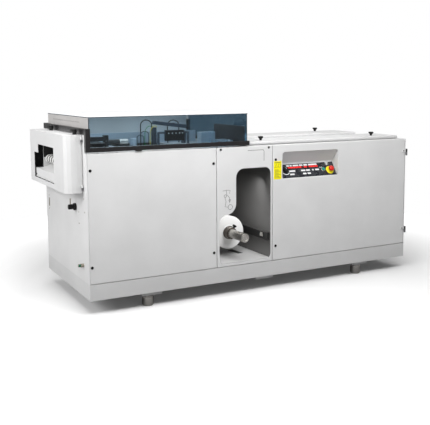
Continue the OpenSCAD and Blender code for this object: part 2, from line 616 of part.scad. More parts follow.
module hose_loops() color(black) in_frame() {
    hoop(580, 460, 1055, 84, 1055 - deck_h, 6);
    hoop(850, 600, 1040, 90, 1040 - deck_h, 6);
    hoop(560, 440, 990, 60, 990 - deck_h, 4);
    hoop(520, 420, 970, 50, 970 - deck_h, 4);
}

// ---------------------------------------------------------------- drive and electrical gear
module switchgear() color([0.8, 0.8, 0.78]) in_frame() {
    block([1420, 560, 200], [2080, 566, 660]);
    for (z = [260, 400, 540], i = [0:6]) block([1460 + 84 * i, 480, z], [1522 + 84 * i, 561, z + 80]);
    block([1420, 560, skirt_h], [1450, 600, 201]);
    block([2050, 560, skirt_h], [2080, 600, 201]);
}
module drive_motor() color([0.35, 0.4, 0.45]) in_frame() difference() {
    union() {
        rod_y(300, 560, 2300, 330, 180);
        block([2220, 340, skirt_h], [2380, 520, 260]);
        block([2250, 660, skirt_h], [2350, 680, 600]);
        rod_y(640, 700, 2300, 560, 80);
        rod_y(270, 301, 2300, 330, 60);
    }
    rod_y(250, 400, 2300, 330, 24 + 2 * fit_gap);
    rod_y(600, 720, 2300, 560, 30 + 2 * fit_gap);
}
module pulley(y, x, z, d, shaft_y0, shaft_y1, shaft_d) {
    rod_y(y, y + 30, x, z, d);
    rod_y(y - 3, y, x, z, d + 8);
    rod_y(y + 30, y + 33, x, z, d + 8);
    rod_y(shaft_y0, shaft_y1, x, z, shaft_d);
}
module motor_pulley() color(steel) in_frame() pulley(226, 2300, 330, 70, 215, 395, 24);
module main_shaft() color(steel) in_frame() pulley(226, 2300, 560, 140, 215, 740, 30);
module isolator_handle() color([0.8, 0.1, 0.08]) in_frame() {
    rod_x(cabinet_l + 0.3, cabinet_l + 8, 500, 640, 70);
    rod_x(cabinet_l - 20, cabinet_l + 1, 500, 640, 10);
    block([cabinet_l + 7, 490, 612], [isolator_x, 510, 668]);
}

base_frame();
foot_front_left();
foot_front_right();
foot_rear_left();
foot_rear_right();
left_end_wall();
right_end_wall();
rear_panels();
deck_plate();
wrapping_table();
bay_side_wall();
bay_floor();
bay_back_plate();
bay_rail();
centre_panel();
centre_panel_screws();
left_panel();
left_panel_locks();
right_door();
door_locks();
fixed_hinges();
control_tray();
control_panel();
display_window();
speed_knob();
start_button();
stop_collar();
stop_head();
front_top_cover();
rear_top_cover();
star_knob_left();
star_knob_right();
star_knob_rear();
canopy_frame();
canopy_window();
canopy_sheets();
discharge_guard();
guard_catch_front();
guard_catch_rear();
discharge_roller();
discharge_belts();
discharge_chute();
end_wall_fittings();
grip_knob();
film_spindle();
film_reel();
reel_collar();
collar_knob();
dancer_arm();
dancer_roller();
guide_rail();
cross_beam();
carriage();
table_units();
hose_loops();
switchgear();
drive_motor();
motor_pulley();
main_shaft();
isolator_handle();
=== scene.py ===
"""Looks for a floor-standing film wrapping machine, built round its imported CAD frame.

Every size below is in millimetres, measured from the machine's left end, its front face and the
underside of its base, as in the part's source. `at` carries such points to the shared frame in metres.
"""

from __future__ import annotations

import json
import logging
import math
from collections.abc import Callable, Iterable, Sequence
from dataclasses import dataclass, field, replace
from enum import Enum

import bmesh
import bpy
import numpy as np
from mathutils import Matrix, Vector
from mathutils.geometry import delaunay_2d_cdt

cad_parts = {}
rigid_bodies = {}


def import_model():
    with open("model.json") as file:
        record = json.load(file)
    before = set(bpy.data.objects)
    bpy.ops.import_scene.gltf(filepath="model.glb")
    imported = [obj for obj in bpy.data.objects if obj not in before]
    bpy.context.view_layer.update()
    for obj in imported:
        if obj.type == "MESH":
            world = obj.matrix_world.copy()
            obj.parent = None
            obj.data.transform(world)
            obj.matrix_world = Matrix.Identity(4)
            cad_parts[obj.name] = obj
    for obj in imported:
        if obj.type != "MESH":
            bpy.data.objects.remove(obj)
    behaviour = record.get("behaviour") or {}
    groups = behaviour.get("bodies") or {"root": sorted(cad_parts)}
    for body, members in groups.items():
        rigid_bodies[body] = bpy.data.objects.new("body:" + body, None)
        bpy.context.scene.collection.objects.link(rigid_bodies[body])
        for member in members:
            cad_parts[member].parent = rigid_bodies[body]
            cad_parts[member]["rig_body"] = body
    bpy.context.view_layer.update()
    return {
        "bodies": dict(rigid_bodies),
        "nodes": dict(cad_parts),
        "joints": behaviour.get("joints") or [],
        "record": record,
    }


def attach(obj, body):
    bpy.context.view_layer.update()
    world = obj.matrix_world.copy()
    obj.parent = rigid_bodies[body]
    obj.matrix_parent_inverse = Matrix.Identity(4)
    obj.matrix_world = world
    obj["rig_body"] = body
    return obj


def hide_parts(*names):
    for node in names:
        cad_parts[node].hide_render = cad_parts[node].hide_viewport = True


log = logging.getLogger("wrapping_machine")

ORIGIN = np.array([1232.0, 493.0, -95.0])
Colour = tuple[float, float, float]
Point = tuple[float, float, float]


def at(points: Iterable[Sequence[float]] | np.ndarray) -> np.ndarray:
    """Machine millimetres to metres in the shared frame: the origin is taken away and the rest divided by 1000.

    Args:
        points: One point or an array of points.

    Returns:
        An array of the same shape.
    """
    return (np.asarray(points, float) - ORIGIN) / 1000.0


# ---------------------------------------------------------------- shapes as arrays
@dataclass(frozen=True)
class Place:
    """A right-handed frame of its own for a shape: an origin in millimetres and three unit axes."""

    origin: Point
    ex: Point = (1.0, 0.0, 0.0)
    ey: Point = (0.0, 1.0, 0.0)
    ez: Point = (0.0, 0.0, 1.0)

    def carry(self, local: np.ndarray) -> np.ndarray:
        """Local points to machine millimetres: origin + x ex + y ey + z ez."""
        return np.asarray(self.origin) + np.asarray(local, float) @ np.array([self.ex, self.ey, self.ez])


def along_x(y: float, z: float, x: float = 0.0) -> Place:
    """A frame whose third axis runs along the machine's length."""
    return Place((x, y, z), (0, 1, 0), (0, 0, 1), (1, 0, 0))


def along_y(x: float, z: float, y: float = 0.0) -> Place:
    """A frame whose third axis runs from the operator to the back."""
    return Place((x, y, z), (1, 0, 0), (0, 0, -1), (0, 1, 0))


def front_face(y: float = 0.0, x: float = 0.0, z: float = 0.0) -> Place:
    """A frame on the front: across, up, and out towards the operator."""
    return Place((x, y, z), (1, 0, 0), (0, 0, 1), (0, -1, 0))


def top_face(z: float) -> Place:
    """A frame on a top: across, back and up."""
    return Place((0, 0, z))


def left_face(x: float = 0.0, y: float = 0.0, z: float = 0.0) -> Place:
    """A frame on the left end: towards the front, up, and out to the left."""
    return Place((x, y, z), (0, -1, 0), (0, 0, 1), (-1, 0, 0))


# The control panel's slope, and its frame: across, up the slope, and out of it.
RISE = math.radians(55.0)
SLOPE = Place((0, 6, 681), (1, 0, 0), (0, math.cos(RISE), math.sin(RISE)), (0, -math.sin(RISE), math.cos(RISE)))


@dataclass
class Shape:
    """Points in millimetres and the faces between them."""

    points: np.ndarray
    faces: list[tuple[int, ...]]

    def placed(self, place: Place) -> Shape:
        """The shape carried by a frame."""
        return Shape(place.carry(self.points), self.faces)

    def lifted(self, height: float) -> Shape:
        """The shape moved along its third axis."""
        return Shape(self.points + (0.0, 0.0, height), self.faces)

    @staticmethod
    def joined(shapes: Sequence[Shape]) -> Shape:
        """Several shapes as one, the faces renumbered."""
        faces: list[tuple[int, ...]] = []
        start = 0
        for shape in shapes:
            faces += [tuple(i + start for i in f) for f in shape.faces]
            start += len(shape.points)
        return Shape(np.concatenate([s.points for s in shapes]), faces)


def grid_faces(rows: int, cols: int, closed: bool = True) -> list[tuple[int, ...]]:
    """Quads between neighbouring rows of a grid of points.

    Args:
        rows: How many rows there are.
        cols: How many points a row has.
        closed: Whether each row closes on itself.

    Returns:
        Faces as tuples of point numbers.
    """
    r = np.arange(rows - 1)[:, None] * cols
    c = np.arange(cols if closed else cols - 1)[None, :]
    n = (c + 1) % cols
    quads = np.stack([r + c, r + n, r + cols + n, r + cols + c], axis=-1).reshape(-1, 4)
    return [tuple(q) for q in quads.tolist()]


def lathe(
    profile: Sequence[tuple[float, float]], sides: int = 48, lobes: int = 0, depth: Sequence[float] | None = None
) -> Shape:
    """A surface of revolution, with a lobed section where asked.

    The point at profile row i and angle a is (r cos a, r sin a, z), with r the row's radius less the row's
    lobe depth times (1 - cos(lobes a)) / 2.

    Args:
        profile: (radius, height) pairs from the lower pole to the upper one.
        sides: Points around the axis.
        lobes: How many lobes the section has.
        depth: The lobes' depth at each row.

    Returns:
        The shape about its own third axis, poles closed.
    """
    p = np.asarray(profile, float)
    a = np.linspace(0, 2 * math.pi, sides, endpoint=False)
    dip = np.zeros(len(p)) if depth is None else np.asarray(depth, float)
    r = p[:, :1] - dip[:, None] * (1 - np.cos(lobes * a))[None, :] / 2
    r = np.maximum(r, 0.0)
    points = np.stack([r * np.cos(a), r * np.sin(a), np.broadcast_to(p[:, 1:], r.shape)], axis=-1)
    return Shape(points.reshape(-1, 3), grid_faces(len(p), sides))


def eased(profile: Sequence[tuple[float, float]], radius: float, steps: int = 3) -> list[tuple[float, float]]:
    """A profile whose inner corners are rounded: each corner is cut back along both sides and joined by a curve.

    The curve is the quadratic one from the first cut through the corner to the second, at even steps.

    Args:
        profile: Points of an open line.
        radius: How far along each side a corner is cut back at most.
        steps: Pieces in each curve.

    Returns:
        The rounded line.
    """
    p = np.asarray(profile, float)
    line = [tuple(p[0])]
    for before, corner, after in zip(p[:-2], p[1:-1], p[2:]):
        a, b = before - corner, after - corner
        la, lb = np.linalg.norm(a), np.linalg.norm(b)
        start = corner + a * min(radius / la, 0.45)
        end = corner + b * min(radius / lb, 0.45)
        t = np.linspace(0, 1, steps + 1)[:, None]
        line += [tuple(q) for q in (1 - t) ** 2 * start + 2 * t * (1 - t) * corner + t**2 * end]
    return [*line, tuple(p[-1])]


def tube(path: Sequence[Sequence[float]], radius: float, sides: int = 10, smooth: int = 0) -> Shape:
    """A round tube along a path, with closed ends.

    Each ring is centre + radius (cos a n + sin a b), where n and b are carried along the path without twist.

    Args:
        path: The centreline's points.
        radius: The tube's radius.
        sides: Points around it.
        smooth: Points for each span of a smooth curve through the path's points, or 0 to keep them.

    Returns:
        The tube.
    """
    p = np.asarray(path, float)
    if smooth:
        p = through(p, smooth)
    d = np.gradient(p, axis=0)
    d /= np.linalg.norm(d, axis=1)[:, None]
    n = np.cross(d[0], [0.0, 0.0, 1.0] if abs(d[0][2]) < 0.9 else [1.0, 0.0, 0.0])
    frames = []
    for t in d:
        n = n - (n @ t) * t
        n /= np.linalg.norm(n)
        frames.append((n, np.cross(t, n)))
    ends = [p[0], *p, p[-1]]
    sizes = np.array([0.0, *([radius] * len(p)), 0.0])
    frames = [frames[0], *frames, frames[-1]]
    a = np.linspace(0, 2 * math.pi, sides, endpoint=False)
    normal = np.array([f[0] for f in frames])[:, None, :]
    side = np.array([f[1] for f in frames])[:, None, :]
    rings = np.array(ends)[:, None, :] + sizes[:, None, None] * (
        np.cos(a)[None, :, None] * normal + np.sin(a)[None, :, None] * side
    )
    return Shape(rings.reshape(-1, 3), grid_faces(len(ends), sides))


def through(points: np.ndarray, steps: int) -> np.ndarray:
    """A smooth curve through points: Catmull-Rom spans, each a cubic of its four nearest points."""
    p = np.concatenate([[2 * points[0] - points[1]], points, [2 * points[-1] - points[-2]]])
    t = np.linspace(0, 1, steps, endpoint=False)[:, None]
    spans = [
        0.5 * (2 * b + (c - a) * t + (2 * a - 5 * b + 4 * c - d) * t**2 + (3 * b - a - 3 * c + d) * t**3)
        for a, b, c, d in zip(p[:-3], p[1:-2], p[2:-1], p[3:])
    ]
    return np.concatenate([*spans, points[-1:]])


def rounded_rectangle(
    x0: float, z0: float, x1: float, z1: float, radii: float | Sequence[float], steps: int = 6
) -> np.ndarray:
    """The outline of a rectangle with rounded corners, anticlockwise from the lower left.

    A corner's point at angle a is its centre + r (cos a, sin a).

    Args:
        x0, z0, x1, z1: The rectangle.
        radii: One radius, or four: lower left, lower right, upper right, upper left.
        steps: Pieces in each corner.

    Returns:
        Points (n, 2).
    """
    r = np.broadcast_to(np.asarray(radii, float), (4,))
    corners = [(x0, z0, 1, 1, 180), (x1, z0, -1, 1, 270), (x1, z1, -1, -1, 0), (x0, z1, 1, -1, 90)]
    arcs = []
    for radius, (x, z, sx, sz, start) in zip(r, corners):
        a = np.radians(start + np.linspace(0, 90, steps + 1))
        arcs.append(np.stack([x + sx * radius + radius * np.cos(a), z + sz * radius + radius * np.sin(a)], axis=1))
    return np.concatenate(arcs)


def circle(x: float, z: float, r: float, steps: int = 24) -> np.ndarray:
    """The outline of a circle, anticlockwise."""
    a = np.linspace(0, 2 * math.pi, steps, endpoint=False)
    return np.stack([x + r * np.cos(a), z + r * np.sin(a)], axis=1)


def inset(loop: np.ndarray, amount: float) -> np.ndarray:
    """A closed outline moved to its left by an amount, along each corner's mitre (n1 + n2) / (1 + n1.n2)."""
    d = np.roll(loop, -1, axis=0) - loop
    d /= np.maximum(np.linalg.norm(d, axis=1), 1e-9)[:, None]
    n = np.stack([-d[:, 1], d[:, 0]], axis=1)
    m = np.roll(n, 1, axis=0)
    return loop + amount * (n + m) / np.maximum(1 + (n * m).sum(1), 0.3)[:, None]


def inside(points: np.ndarray, loop: np.ndarray) -> np.ndarray:
    """Which points lie inside a closed outline, by counting its crossings of a ray along the first axis."""
    a, b = loop, np.roll(loop, -1, axis=0)
    x, z = points[:, :1], points[:, 1:]
    spans = (a[:, 1] > z) != (b[:, 1] > z)
    rise = np.where(np.abs(b[:, 1] - a[:, 1]) < 1e-12, 1e-12, b[:, 1] - a[:, 1])
    return ((spans & (x < a[:, 0] + (z - a[:, 1]) * (b[:, 0] - a[:, 0]) / rise)).sum(1) % 2).astype(bool)


def pressed(
    outline: np.ndarray, holes: Sequence[np.ndarray] = (), rim: float = 2.5, depth: float = 18.0,
    hole_rim: float = 0.8, hole_depth: float = 1.2
) -> Shape:
    """A flat face whose edges roll over a rim and run back, as folded sheet does, with holes.

    The face is the constrained triangulation of its outline and holes. Along an edge, the section is a quarter
    circle, inset r (1 - sin a) and drop r (1 - cos a), and then a straight wall down to the depth.

    Args:
        outline: The outer edge, anticlockwise as seen from outside.
        holes: Edges of the holes, anticlockwise too.
        rim: Radius of the outer edge.
        depth: How far the outer wall runs back.
        hole_rim: Radius of the holes' edges.
        hole_depth: How far the holes' walls run back.

    Returns:
        The skin, its face in the plane of the first two axes and outwards along the third.
    """
    loops = [(outline, rim, depth)] + [(h[::-1], hole_rim, hole_depth) for h in holes]
    shapes, flat = [], []
    for loop, r, back in loops:
        a = np.linspace(0, math.pi / 2, 5)
        section = [(r + 1.0, 0.0), *zip(r * (1 - np.sin(a)), r * (1 - np.cos(a))), (0.0, back)]
        rings = np.array([np.column_stack([inset(loop, i), np.full(len(loop), -drop)]) for i, drop in section])
        skin = Shape(rings.reshape(-1, 3), [f[::-1] for f in grid_faces(len(section), len(loop))])
        shapes.append(skin)
        flat.append(inset(loop, r + 1.0))
    points = np.concatenate(flat)
    edges, start = [], 0
    for loop in flat:
        k = np.arange(len(loop))
        edges += [tuple(e) for e in np.column_stack([start + k, start + (k + 1) % len(loop)]).tolist()]
        start += len(loop)
    coords, _, triangles, *_ = delaunay_2d_cdt([Vector(p) for p in points], edges, [], 0, 1e-6)
    co = np.array([tuple(c) for c in coords])
    tri = np.array(triangles)
    mid = co[tri].mean(1)
    keep = inside(mid, flat[0])
    for hole in flat[1:]:
        keep &= ~inside(mid, hole)
    face = Shape(np.column_stack([co, np.zeros(len(co))]), [tuple(t) for t in tri[keep].tolist()])
    return Shape.joined([face, *shapes])


def box(low: Sequence[float], high: Sequence[float]) -> Shape:
    """A closed box between two corners, its faces wound so that they look outwards."""
    corners = [(x, y, z) for x in (low[0], high[0]) for y in (low[1], high[1]) for z in (low[2], high[2])]
    return Shape(
        np.array(corners, float), [(0, 1, 3, 2), (4, 6, 7, 5), (0, 4, 5, 1), (2, 3, 7, 6), (0, 2, 6, 4), (1, 5, 7, 3)]
    )


def pad(outline: np.ndarray, height: float, rim: float = 0.4) -> Shape:
    """A closed flat pad with a rounded upper edge: a pressed face down to its foot, and a floor under it."""
    top = pressed(outline, rim=rim, depth=height)
    floor = Shape(np.column_stack([outline, np.full(len(outline), -height)]), [tuple(range(len(outline)))[::-1]])
    return Shape.joined([top, floor])


def strip(line: Sequence[Sequence[float]], width: float) -> Shape:
    """A thin raised line along points in a plane: a flat tube 0.3 high whose sides are half a width out.

    Args:
        line: Points (x, z) of an open line.
        width: The line's width.

    Returns:
        The line, lying on the plane of the first two axes.
    """
    p = np.asarray(line, float)
    d = np.gradient(p, axis=0)
    d /= np.linalg.norm(d, axis=1)[:, None]
    n = np.stack([-d[:, 1], d[:, 0]], axis=1) * width / 2
    section = [(-1, 0.0), (1, 0.0), (1, 0.3), (-1, 0.3)]
    rows = np.stack([np.column_stack([p + s * n, np.full(len(p), h)]) for s, h in section], axis=1)
    count = len(p)
    faces = grid_faces(count, 4) + [(3, 2, 1, 0), tuple((count - 1) * 4 + i for i in range(4))]
    return Shape(rows.reshape(-1, 3), faces)


# ---------------------------------------------------------------- finishes
class Grain(Enum):
    """The fine surface that a finish has."""

    POWDER = "powder_coat"
    BRUSHED = "brushed_metal"
    MOULDED = "moulded_plastic"
    TURNED = "turned_rings"
    SMOOTH = "smooth_sheet"


@dataclass(frozen=True)
class Finish:
    """One finish of the machine, and the amounts of the effects on it."""

    name: str
    colour: Colour
    roughness: float = 0.45
    grain: Grain = Grain.POWDER
    metallic: float = 0.0
    bump: float = 0.25
    mottle: float = 0.04
    wear: float = 0.15
    wear_colour: Colour = (0.62, 0.62, 0.6)
    dust: float = 0.08
    coat: float = 0.0
    specular: float = 0.5
    transmission: float = 0.0
    ior: float = 1.45
    glow: float = 0.0


PANEL = Finish("panel_paint", (0.72, 0.72, 0.72), 0.42, bump=0.18, wear=0.1, wear_colour=(0.8, 0.8, 0.8))
BASE = Finish("base_paint", (0.66, 0.66, 0.66), 0.45, bump=0.2, dust=0.1)
BAY = Finish("bay_paint", (0.15, 0.148, 0.145), 0.5, bump=0.3, wear=0.2, wear_colour=(0.25, 0.25, 0.24))
TABLE = Finish("table_steel", (0.62, 0.62, 0.62), 0.36, Grain.BRUSHED, 0.6, wear=0.1)
BLACK_STEEL = Finish("black_steel", (0.02, 0.02, 0.02), 0.38, bump=0.2, wear=0.35, wear_colour=(0.2, 0.19, 0.18))
BLACK_PLASTIC = Finish(
    "black_plastic", (0.012, 0.012, 0.012), 0.42, Grain.MOULDED, wear=0.25, wear_colour=(0.07, 0.07, 0.07), dust=0.02,
    specular=0.25
)
HINGE = Finish("hinge_steel", (0.13, 0.13, 0.135), 0.4, wear=0.3, wear_colour=(0.4, 0.4, 0.4))
TRAY = Finish("tray_plastic", (0.78, 0.78, 0.78), 0.5, Grain.MOULDED, wear=0.1)
FOIL = Finish("panel_film", (0.02, 0.022, 0.028), 0.28, Grain.SMOOTH, wear=0.0, coat=0.3)
RED_FILTER = Finish("display_red", (0.10, 0.005, 0.004), 0.15, Grain.SMOOTH, wear=0.0, coat=0.4)
GREEN = Finish("button_green", (0.01, 0.30, 0.24), 0.3, Grain.MOULDED, wear=0.05)
YELLOW = Finish("collar_yellow", (0.92, 0.80, 0.01), 0.45, Grain.MOULDED, wear=0.1, wear_colour=(0.9, 0.8, 0.3))
RED = Finish("button_red", (0.62, 0.02, 0.01), 0.3, Grain.MOULDED, wear=0.1, wear_colour=(0.8, 0.2, 0.15))
CANOPY_BLACK = Finish(
    "canopy_black", (0.014, 0.013, 0.014), 0.3, bump=0.15, wear=0.2, wear_colour=(0.16, 0.15, 0.14), coat=0.25
)
TINT = Finish("canopy_tint", (0.60, 0.77, 0.88), 0.03, Grain.SMOOTH, bump=0.0, wear=0.0, dust=0.0, transmission=1.0)
CANOPY_WHITE = Finish("canopy_white", (0.84, 0.86, 0.87), 0.35, Grain.SMOOTH, wear=0.1)
CANOPY_GREY = replace(CANOPY_WHITE, name="canopy_grey", colour=(0.50, 0.485, 0.475))
STEEL = Finish("bright_steel", (0.56, 0.54, 0.51), 0.28, Grain.BRUSHED, 0.95, wear=0.2, wear_colour=(0.7, 0.69, 0.67))
BELT = Finish("belt_white", (0.82, 0.82, 0.80), 0.5, Grain.MOULDED, wear=0.1, dust=0.15)
FOOT_STEEL = replace(STEEL, name="foot_steel", roughness=0.16, metallic=1.0)
CHUTE = Finish("chute_plastic", (0.74, 0.74, 0.74), 0.4, Grain.MOULDED, wear=0.1)
BRASS = Finish("fitting_brass", (0.42, 0.38, 0.31), 0.35, Grain.BRUSHED, 0.85)
FILM = Finish("film_white", (0.86, 0.86, 0.85), 0.3, Grain.TURNED, wear=0.0, coat=0.2)
COLLAR_STEEL = Finish("collar_steel", (0.13, 0.115, 0.10), 0.3, Grain.BRUSHED, 0.7, wear=0.3)
BEAM = Finish("beam_paint", (0.035, 0.05, 0.07), 0.4, wear=0.25)
ALUMINIUM = Finish("unit_aluminium", (0.58, 0.68, 0.78), 0.35, Grain.BRUSHED, 0.55)
HOSE = Finish("hose_rubber", (0.02, 0.022, 0.025), 0.4, Grain.MOULDED, wear=0.0)
SWITCHGEAR = Finish("switchgear_plastic", (0.5, 0.5, 0.48), 0.5, Grain.MOULDED)
MOTOR = Finish("motor_paint", (0.05, 0.09, 0.16), 0.4, wear=0.25)

# Variants for small pieces, each made from the finish that it comes from.
CAP_GREEN = replace(GREEN, name="cap_green", colour=(0.02, 0.14, 0.07))
NOTICE_YELLOW = replace(YELLOW, name="notice_yellow", colour=(0.96, 0.86, 0.0), roughness=0.35)
NOTICE_INK = replace(BEAM, name="notice_ink", colour=(0.2, 0.2, 0.06), wear=0.0)
MARKING_INK = replace(BAY, name="marking_ink", colour=(0.13, 0.13, 0.13), wear=0.0)
SLOT_SHADOW = replace(BAY, name="slot_shadow", colour=(0.3, 0.29, 0.29), wear=0.0)
BAY_FLOOR = replace(TABLE, colour=(0.66, 0.66, 0.66), metallic=0.25)
LIT_RED = replace(RED, name="lit_red", colour=(0.85, 0.02, 0.02), glow=0.7)
KEY_CAP = replace(TRAY, name="key_cap", colour=(0.82, 0.82, 0.82))
# The top sheet's glow is painted light: it brightens the top as the overhead lamps would.
CANOPY_TOP_PAINTED_GLOW = replace(CANOPY_WHITE, name="canopy_top", glow=0.12)
# The right sheet's darker tint is painted shade on its inner face.
SHADED_RIGHT_TINT = replace(TINT, name="canopy_right_painted_shade", colour=(0.15, 0.28, 0.38))
# Black for the belts' sides: painted shade between the belts.
BELT_SHADE_EDGE = replace(HOSE, name="belt_edge")
LEGEND_WHITE, KEY_FIELD_WHITE, POINTER_WHITE, SCREW_WHITE = (
    replace(CANOPY_WHITE, name=name) for name in ("legend_white", "key_field_white", "pointer_white", "screw_white")
)

# Sockets that every grain group has.
GRAIN_INPUTS: dict[str, float | Point] = {"Vector": (0.0, 0.0, 0.0), "Scale": 1.0}
GRAIN_OUTPUTS: dict[str, str] = {"Height": "NodeSocketFloat", "Shade": "NodeSocketFloat"}


class Palette:
    """Makes each finish's material once, out of the shared effect groups."""

    def __init__(self) -> None:
        """Starts with no groups and no materials."""
        self.groups: dict[str, bpy.types.ShaderNodeTree] = {}
        self.materials: dict[Finish, bpy.types.Material] = {}

    @staticmethod
    def _tree(name: str, inputs: dict[str, float | Point], outputs: dict[str, str]) -> tuple:
        """An empty group with the named sockets.

        Args:
            name: The group's name.
            inputs: Each input's name and default; a triple makes a vector.
            outputs: Each output's name and socket type.

        Returns:
            The tree, its input node, its output node, and functions that add a node and a link.
        """
        tree = bpy.data.node_groups.new(name, "ShaderNodeTree")
        for label, value in inputs.items():
            kind = "NodeSocketVector" if isinstance(value, tuple) else "NodeSocketFloat"
            tree.interface.new_socket(label, in_out="INPUT", socket_type=kind).default_value = value
        for label, kind in outputs.items():
            tree.interface.new_socket(label, in_out="OUTPUT", socket_type=kind)
        source, sink = tree.nodes.new("NodeGroupInput"), tree.nodes.new("NodeGroupOutput")

        def add(kind: str, **settings: object) -> bpy.types.Node:
            """A node of that kind; settings name its properties, or its inputs with their values."""
            node = tree.nodes.new(kind)
            for key, value in settings.items():
                if key.startswith("in_"):
                    node.inputs[int(key[3:])].default_value = value
                else:
                    setattr(node, key, value)
            return node

        return tree, source, sink, add, tree.links.new

    @staticmethod
    def _math(add: Callable, link: Callable, operation: str, a: object, b: object) -> bpy.types.NodeSocket:
        """A math node's result from two sockets or numbers."""
        node = add("ShaderNodeMath", operation=operation)
        for i, value in enumerate((a, b)):
            if isinstance(value, bpy.types.NodeSocket):
                link(value, node.inputs[i])
            else:
                node.inputs[i].default_value = value
        return node.outputs[0]

    def group(self, name: str) -> bpy.types.ShaderNodeTree:
        """The shared group of that name, made the first time."""
        if name not in self.groups:
            self.groups[name] = getattr(self, f"_{name}")()
        return self.groups[name]

    def _powder_coat(self) -> bpy.types.ShaderNodeTree:
        """Orange-peel height of baked powder coat: soft cells of about 2 mm with finer noise on them."""
        tree, source, sink, add, link = self._tree("powder_coat", GRAIN_INPUTS, GRAIN_OUTPUTS)
        scaled = add("ShaderNodeVectorMath", operation="SCALE")
        link(source.outputs["Vector"], scaled.inputs[0])
        link(source.outputs["Scale"], scaled.inputs["Scale"])
        cells = add("ShaderNodeTexVoronoi", feature="SMOOTH_F1", in_2=420.0)
        noise = add("ShaderNodeTexNoise", in_2=900.0, in_3=3.0)
        for node in (cells, noise):
            link(scaled.outputs[0], node.inputs["Vector"])
        height = self._math(
            add, link, "ADD", cells.outputs["Distance"], self._math(add, link, "MULTIPLY", noise.outputs["Fac"], 0.6)
        )
        link(height, sink.inputs["Height"])
        link(noise.outputs["Fac"], sink.inputs["Shade"])
        return tree

    def _brushed_metal(self) -> bpy.types.ShaderNodeTree:
        """Fine lines of a brushed or ground metal: noise drawn out along the second axis of its vector."""
        tree, source, sink, add, link = self._tree("brushed_metal", GRAIN_INPUTS, GRAIN_OUTPUTS)
        drawn = add("ShaderNodeMapping")
        drawn.inputs["Scale"].default_value = (900.0, 25.0, 900.0)
        link(source.outputs["Vector"], drawn.inputs["Vector"])
        noise = add("ShaderNodeTexNoise", in_3=4.0)
        link(drawn.outputs[0], noise.inputs["Vector"])
        link(source.outputs["Scale"], noise.inputs["Scale"])
        link(noise.outputs["Fac"], sink.inputs["Height"])
        link(noise.outputs["Fac"], sink.inputs["Shade"])
        return tree

    def _moulded_plastic(self) -> bpy.types.ShaderNodeTree:
        """The fine spark-eroded grain of a moulding: noise of about half a millimetre over a softer one."""
        tree, source, sink, add, link = self._tree("moulded_plastic", GRAIN_INPUTS, GRAIN_OUTPUTS)
        scaled = add("ShaderNodeVectorMath", operation="SCALE")
        link(source.outputs["Vector"], scaled.inputs[0])
        link(source.outputs["Scale"], scaled.inputs["Scale"])
        fine = add("ShaderNodeTexNoise", in_2=1600.0, in_3=2.0)
        soft = add("ShaderNodeTexNoise", in_2=160.0, in_3=3.0)
        for node in (fine, soft):
            link(scaled.outputs[0], node.inputs["Vector"])
        link(self._math(add, link, "ADD", fine.outputs["Fac"], soft.outputs["Fac"]), sink.inputs["Height"])
        link(soft.outputs["Fac"], sink.inputs["Shade"])
        return tree

    def _turned_rings(self) -> bpy.types.ShaderNodeTree:
        """Rings about the second axis of its vector: a sine of the distance from it, broken up by noise."""
        tree, source, sink, add, link = self._tree("turned_rings", GRAIN_INPUTS, GRAIN_OUTPUTS)
        flat = add("ShaderNodeVectorMath", operation="MULTIPLY", in_1=(1.0, 0.0, 1.0))
        link(source.outputs["Vector"], flat.inputs[0])
        radius = add("ShaderNodeVectorMath", operation="LENGTH")
        link(flat.outputs[0], radius.inputs[0])
        noise = add("ShaderNodeTexNoise", noise_dimensions="1D", in_3=4.0)
        link(self._math(add, link, "MULTIPLY", radius.outputs["Value"], 420.0), noise.inputs["W"])
        link(source.outputs["Scale"], noise.inputs["Scale"])
        link(noise.outputs["Fac"], sink.inputs["Height"])
        link(noise.outputs["Fac"], sink.inputs["Shade"])
        return tree

    def _smooth_sheet(self) -> bpy.types.ShaderNodeTree:
        """The faint waviness of a glossy sheet: noise a few centimetres long."""
        tree, source, sink, add, link = self._tree("smooth_sheet", GRAIN_INPUTS, GRAIN_OUTPUTS)
        noise = add("ShaderNodeTexNoise", in_3=2.0)
        link(source.outputs["Vector"], noise.inputs["Vector"])
        link(self._math(add, link, "MULTIPLY", source.outputs["Scale"], 25.0), noise.inputs["Scale"])
        link(noise.outputs["Fac"], sink.inputs["Height"])
        link(noise.outputs["Fac"], sink.inputs["Shade"])
        return tree

    def _edge_wear(self) -> bpy.types.ShaderNodeTree:
        """A mask that is 1 on rubbed edges: where a rounded normal leaves the true one, broken up by noise."""
        tree, source, sink, add, link = self._tree(
            "edge_wear", {"Vector": (0.0, 0.0, 0.0), "Amount": 0.2}, {"Mask": "NodeSocketFloat"}
        )
        bevel = add("ShaderNodeBevel", samples=2, in_0=0.0022)
        geometry = add("ShaderNodeNewGeometry")
        dot = add("ShaderNodeVectorMath", operation="DOT_PRODUCT")
        link(bevel.outputs[0], dot.inputs[0])
        link(geometry.outputs["Normal"], dot.inputs[1])
        edge = self._math(add, link, "MULTIPLY", self._math(add, link, "SUBTRACT", 1.0, dot.outputs["Value"]), 5.0)
        noise = add("ShaderNodeTexNoise", in_2=55.0, in_3=4.0)
        link(source.outputs["Vector"], noise.inputs["Vector"])
        broken = add("ShaderNodeMapRange", in_1=0.4, in_2=0.62)
        link(noise.outputs["Fac"], broken.inputs[0])
        mask = self._math(
            add, link, "MULTIPLY", self._math(add, link, "MULTIPLY", edge, broken.outputs[0]),
            source.outputs["Amount"]
        )
        clamp = add("ShaderNodeClamp")
        link(mask, clamp.inputs[0])
        link(clamp.outputs[0], sink.inputs["Mask"])
        return tree

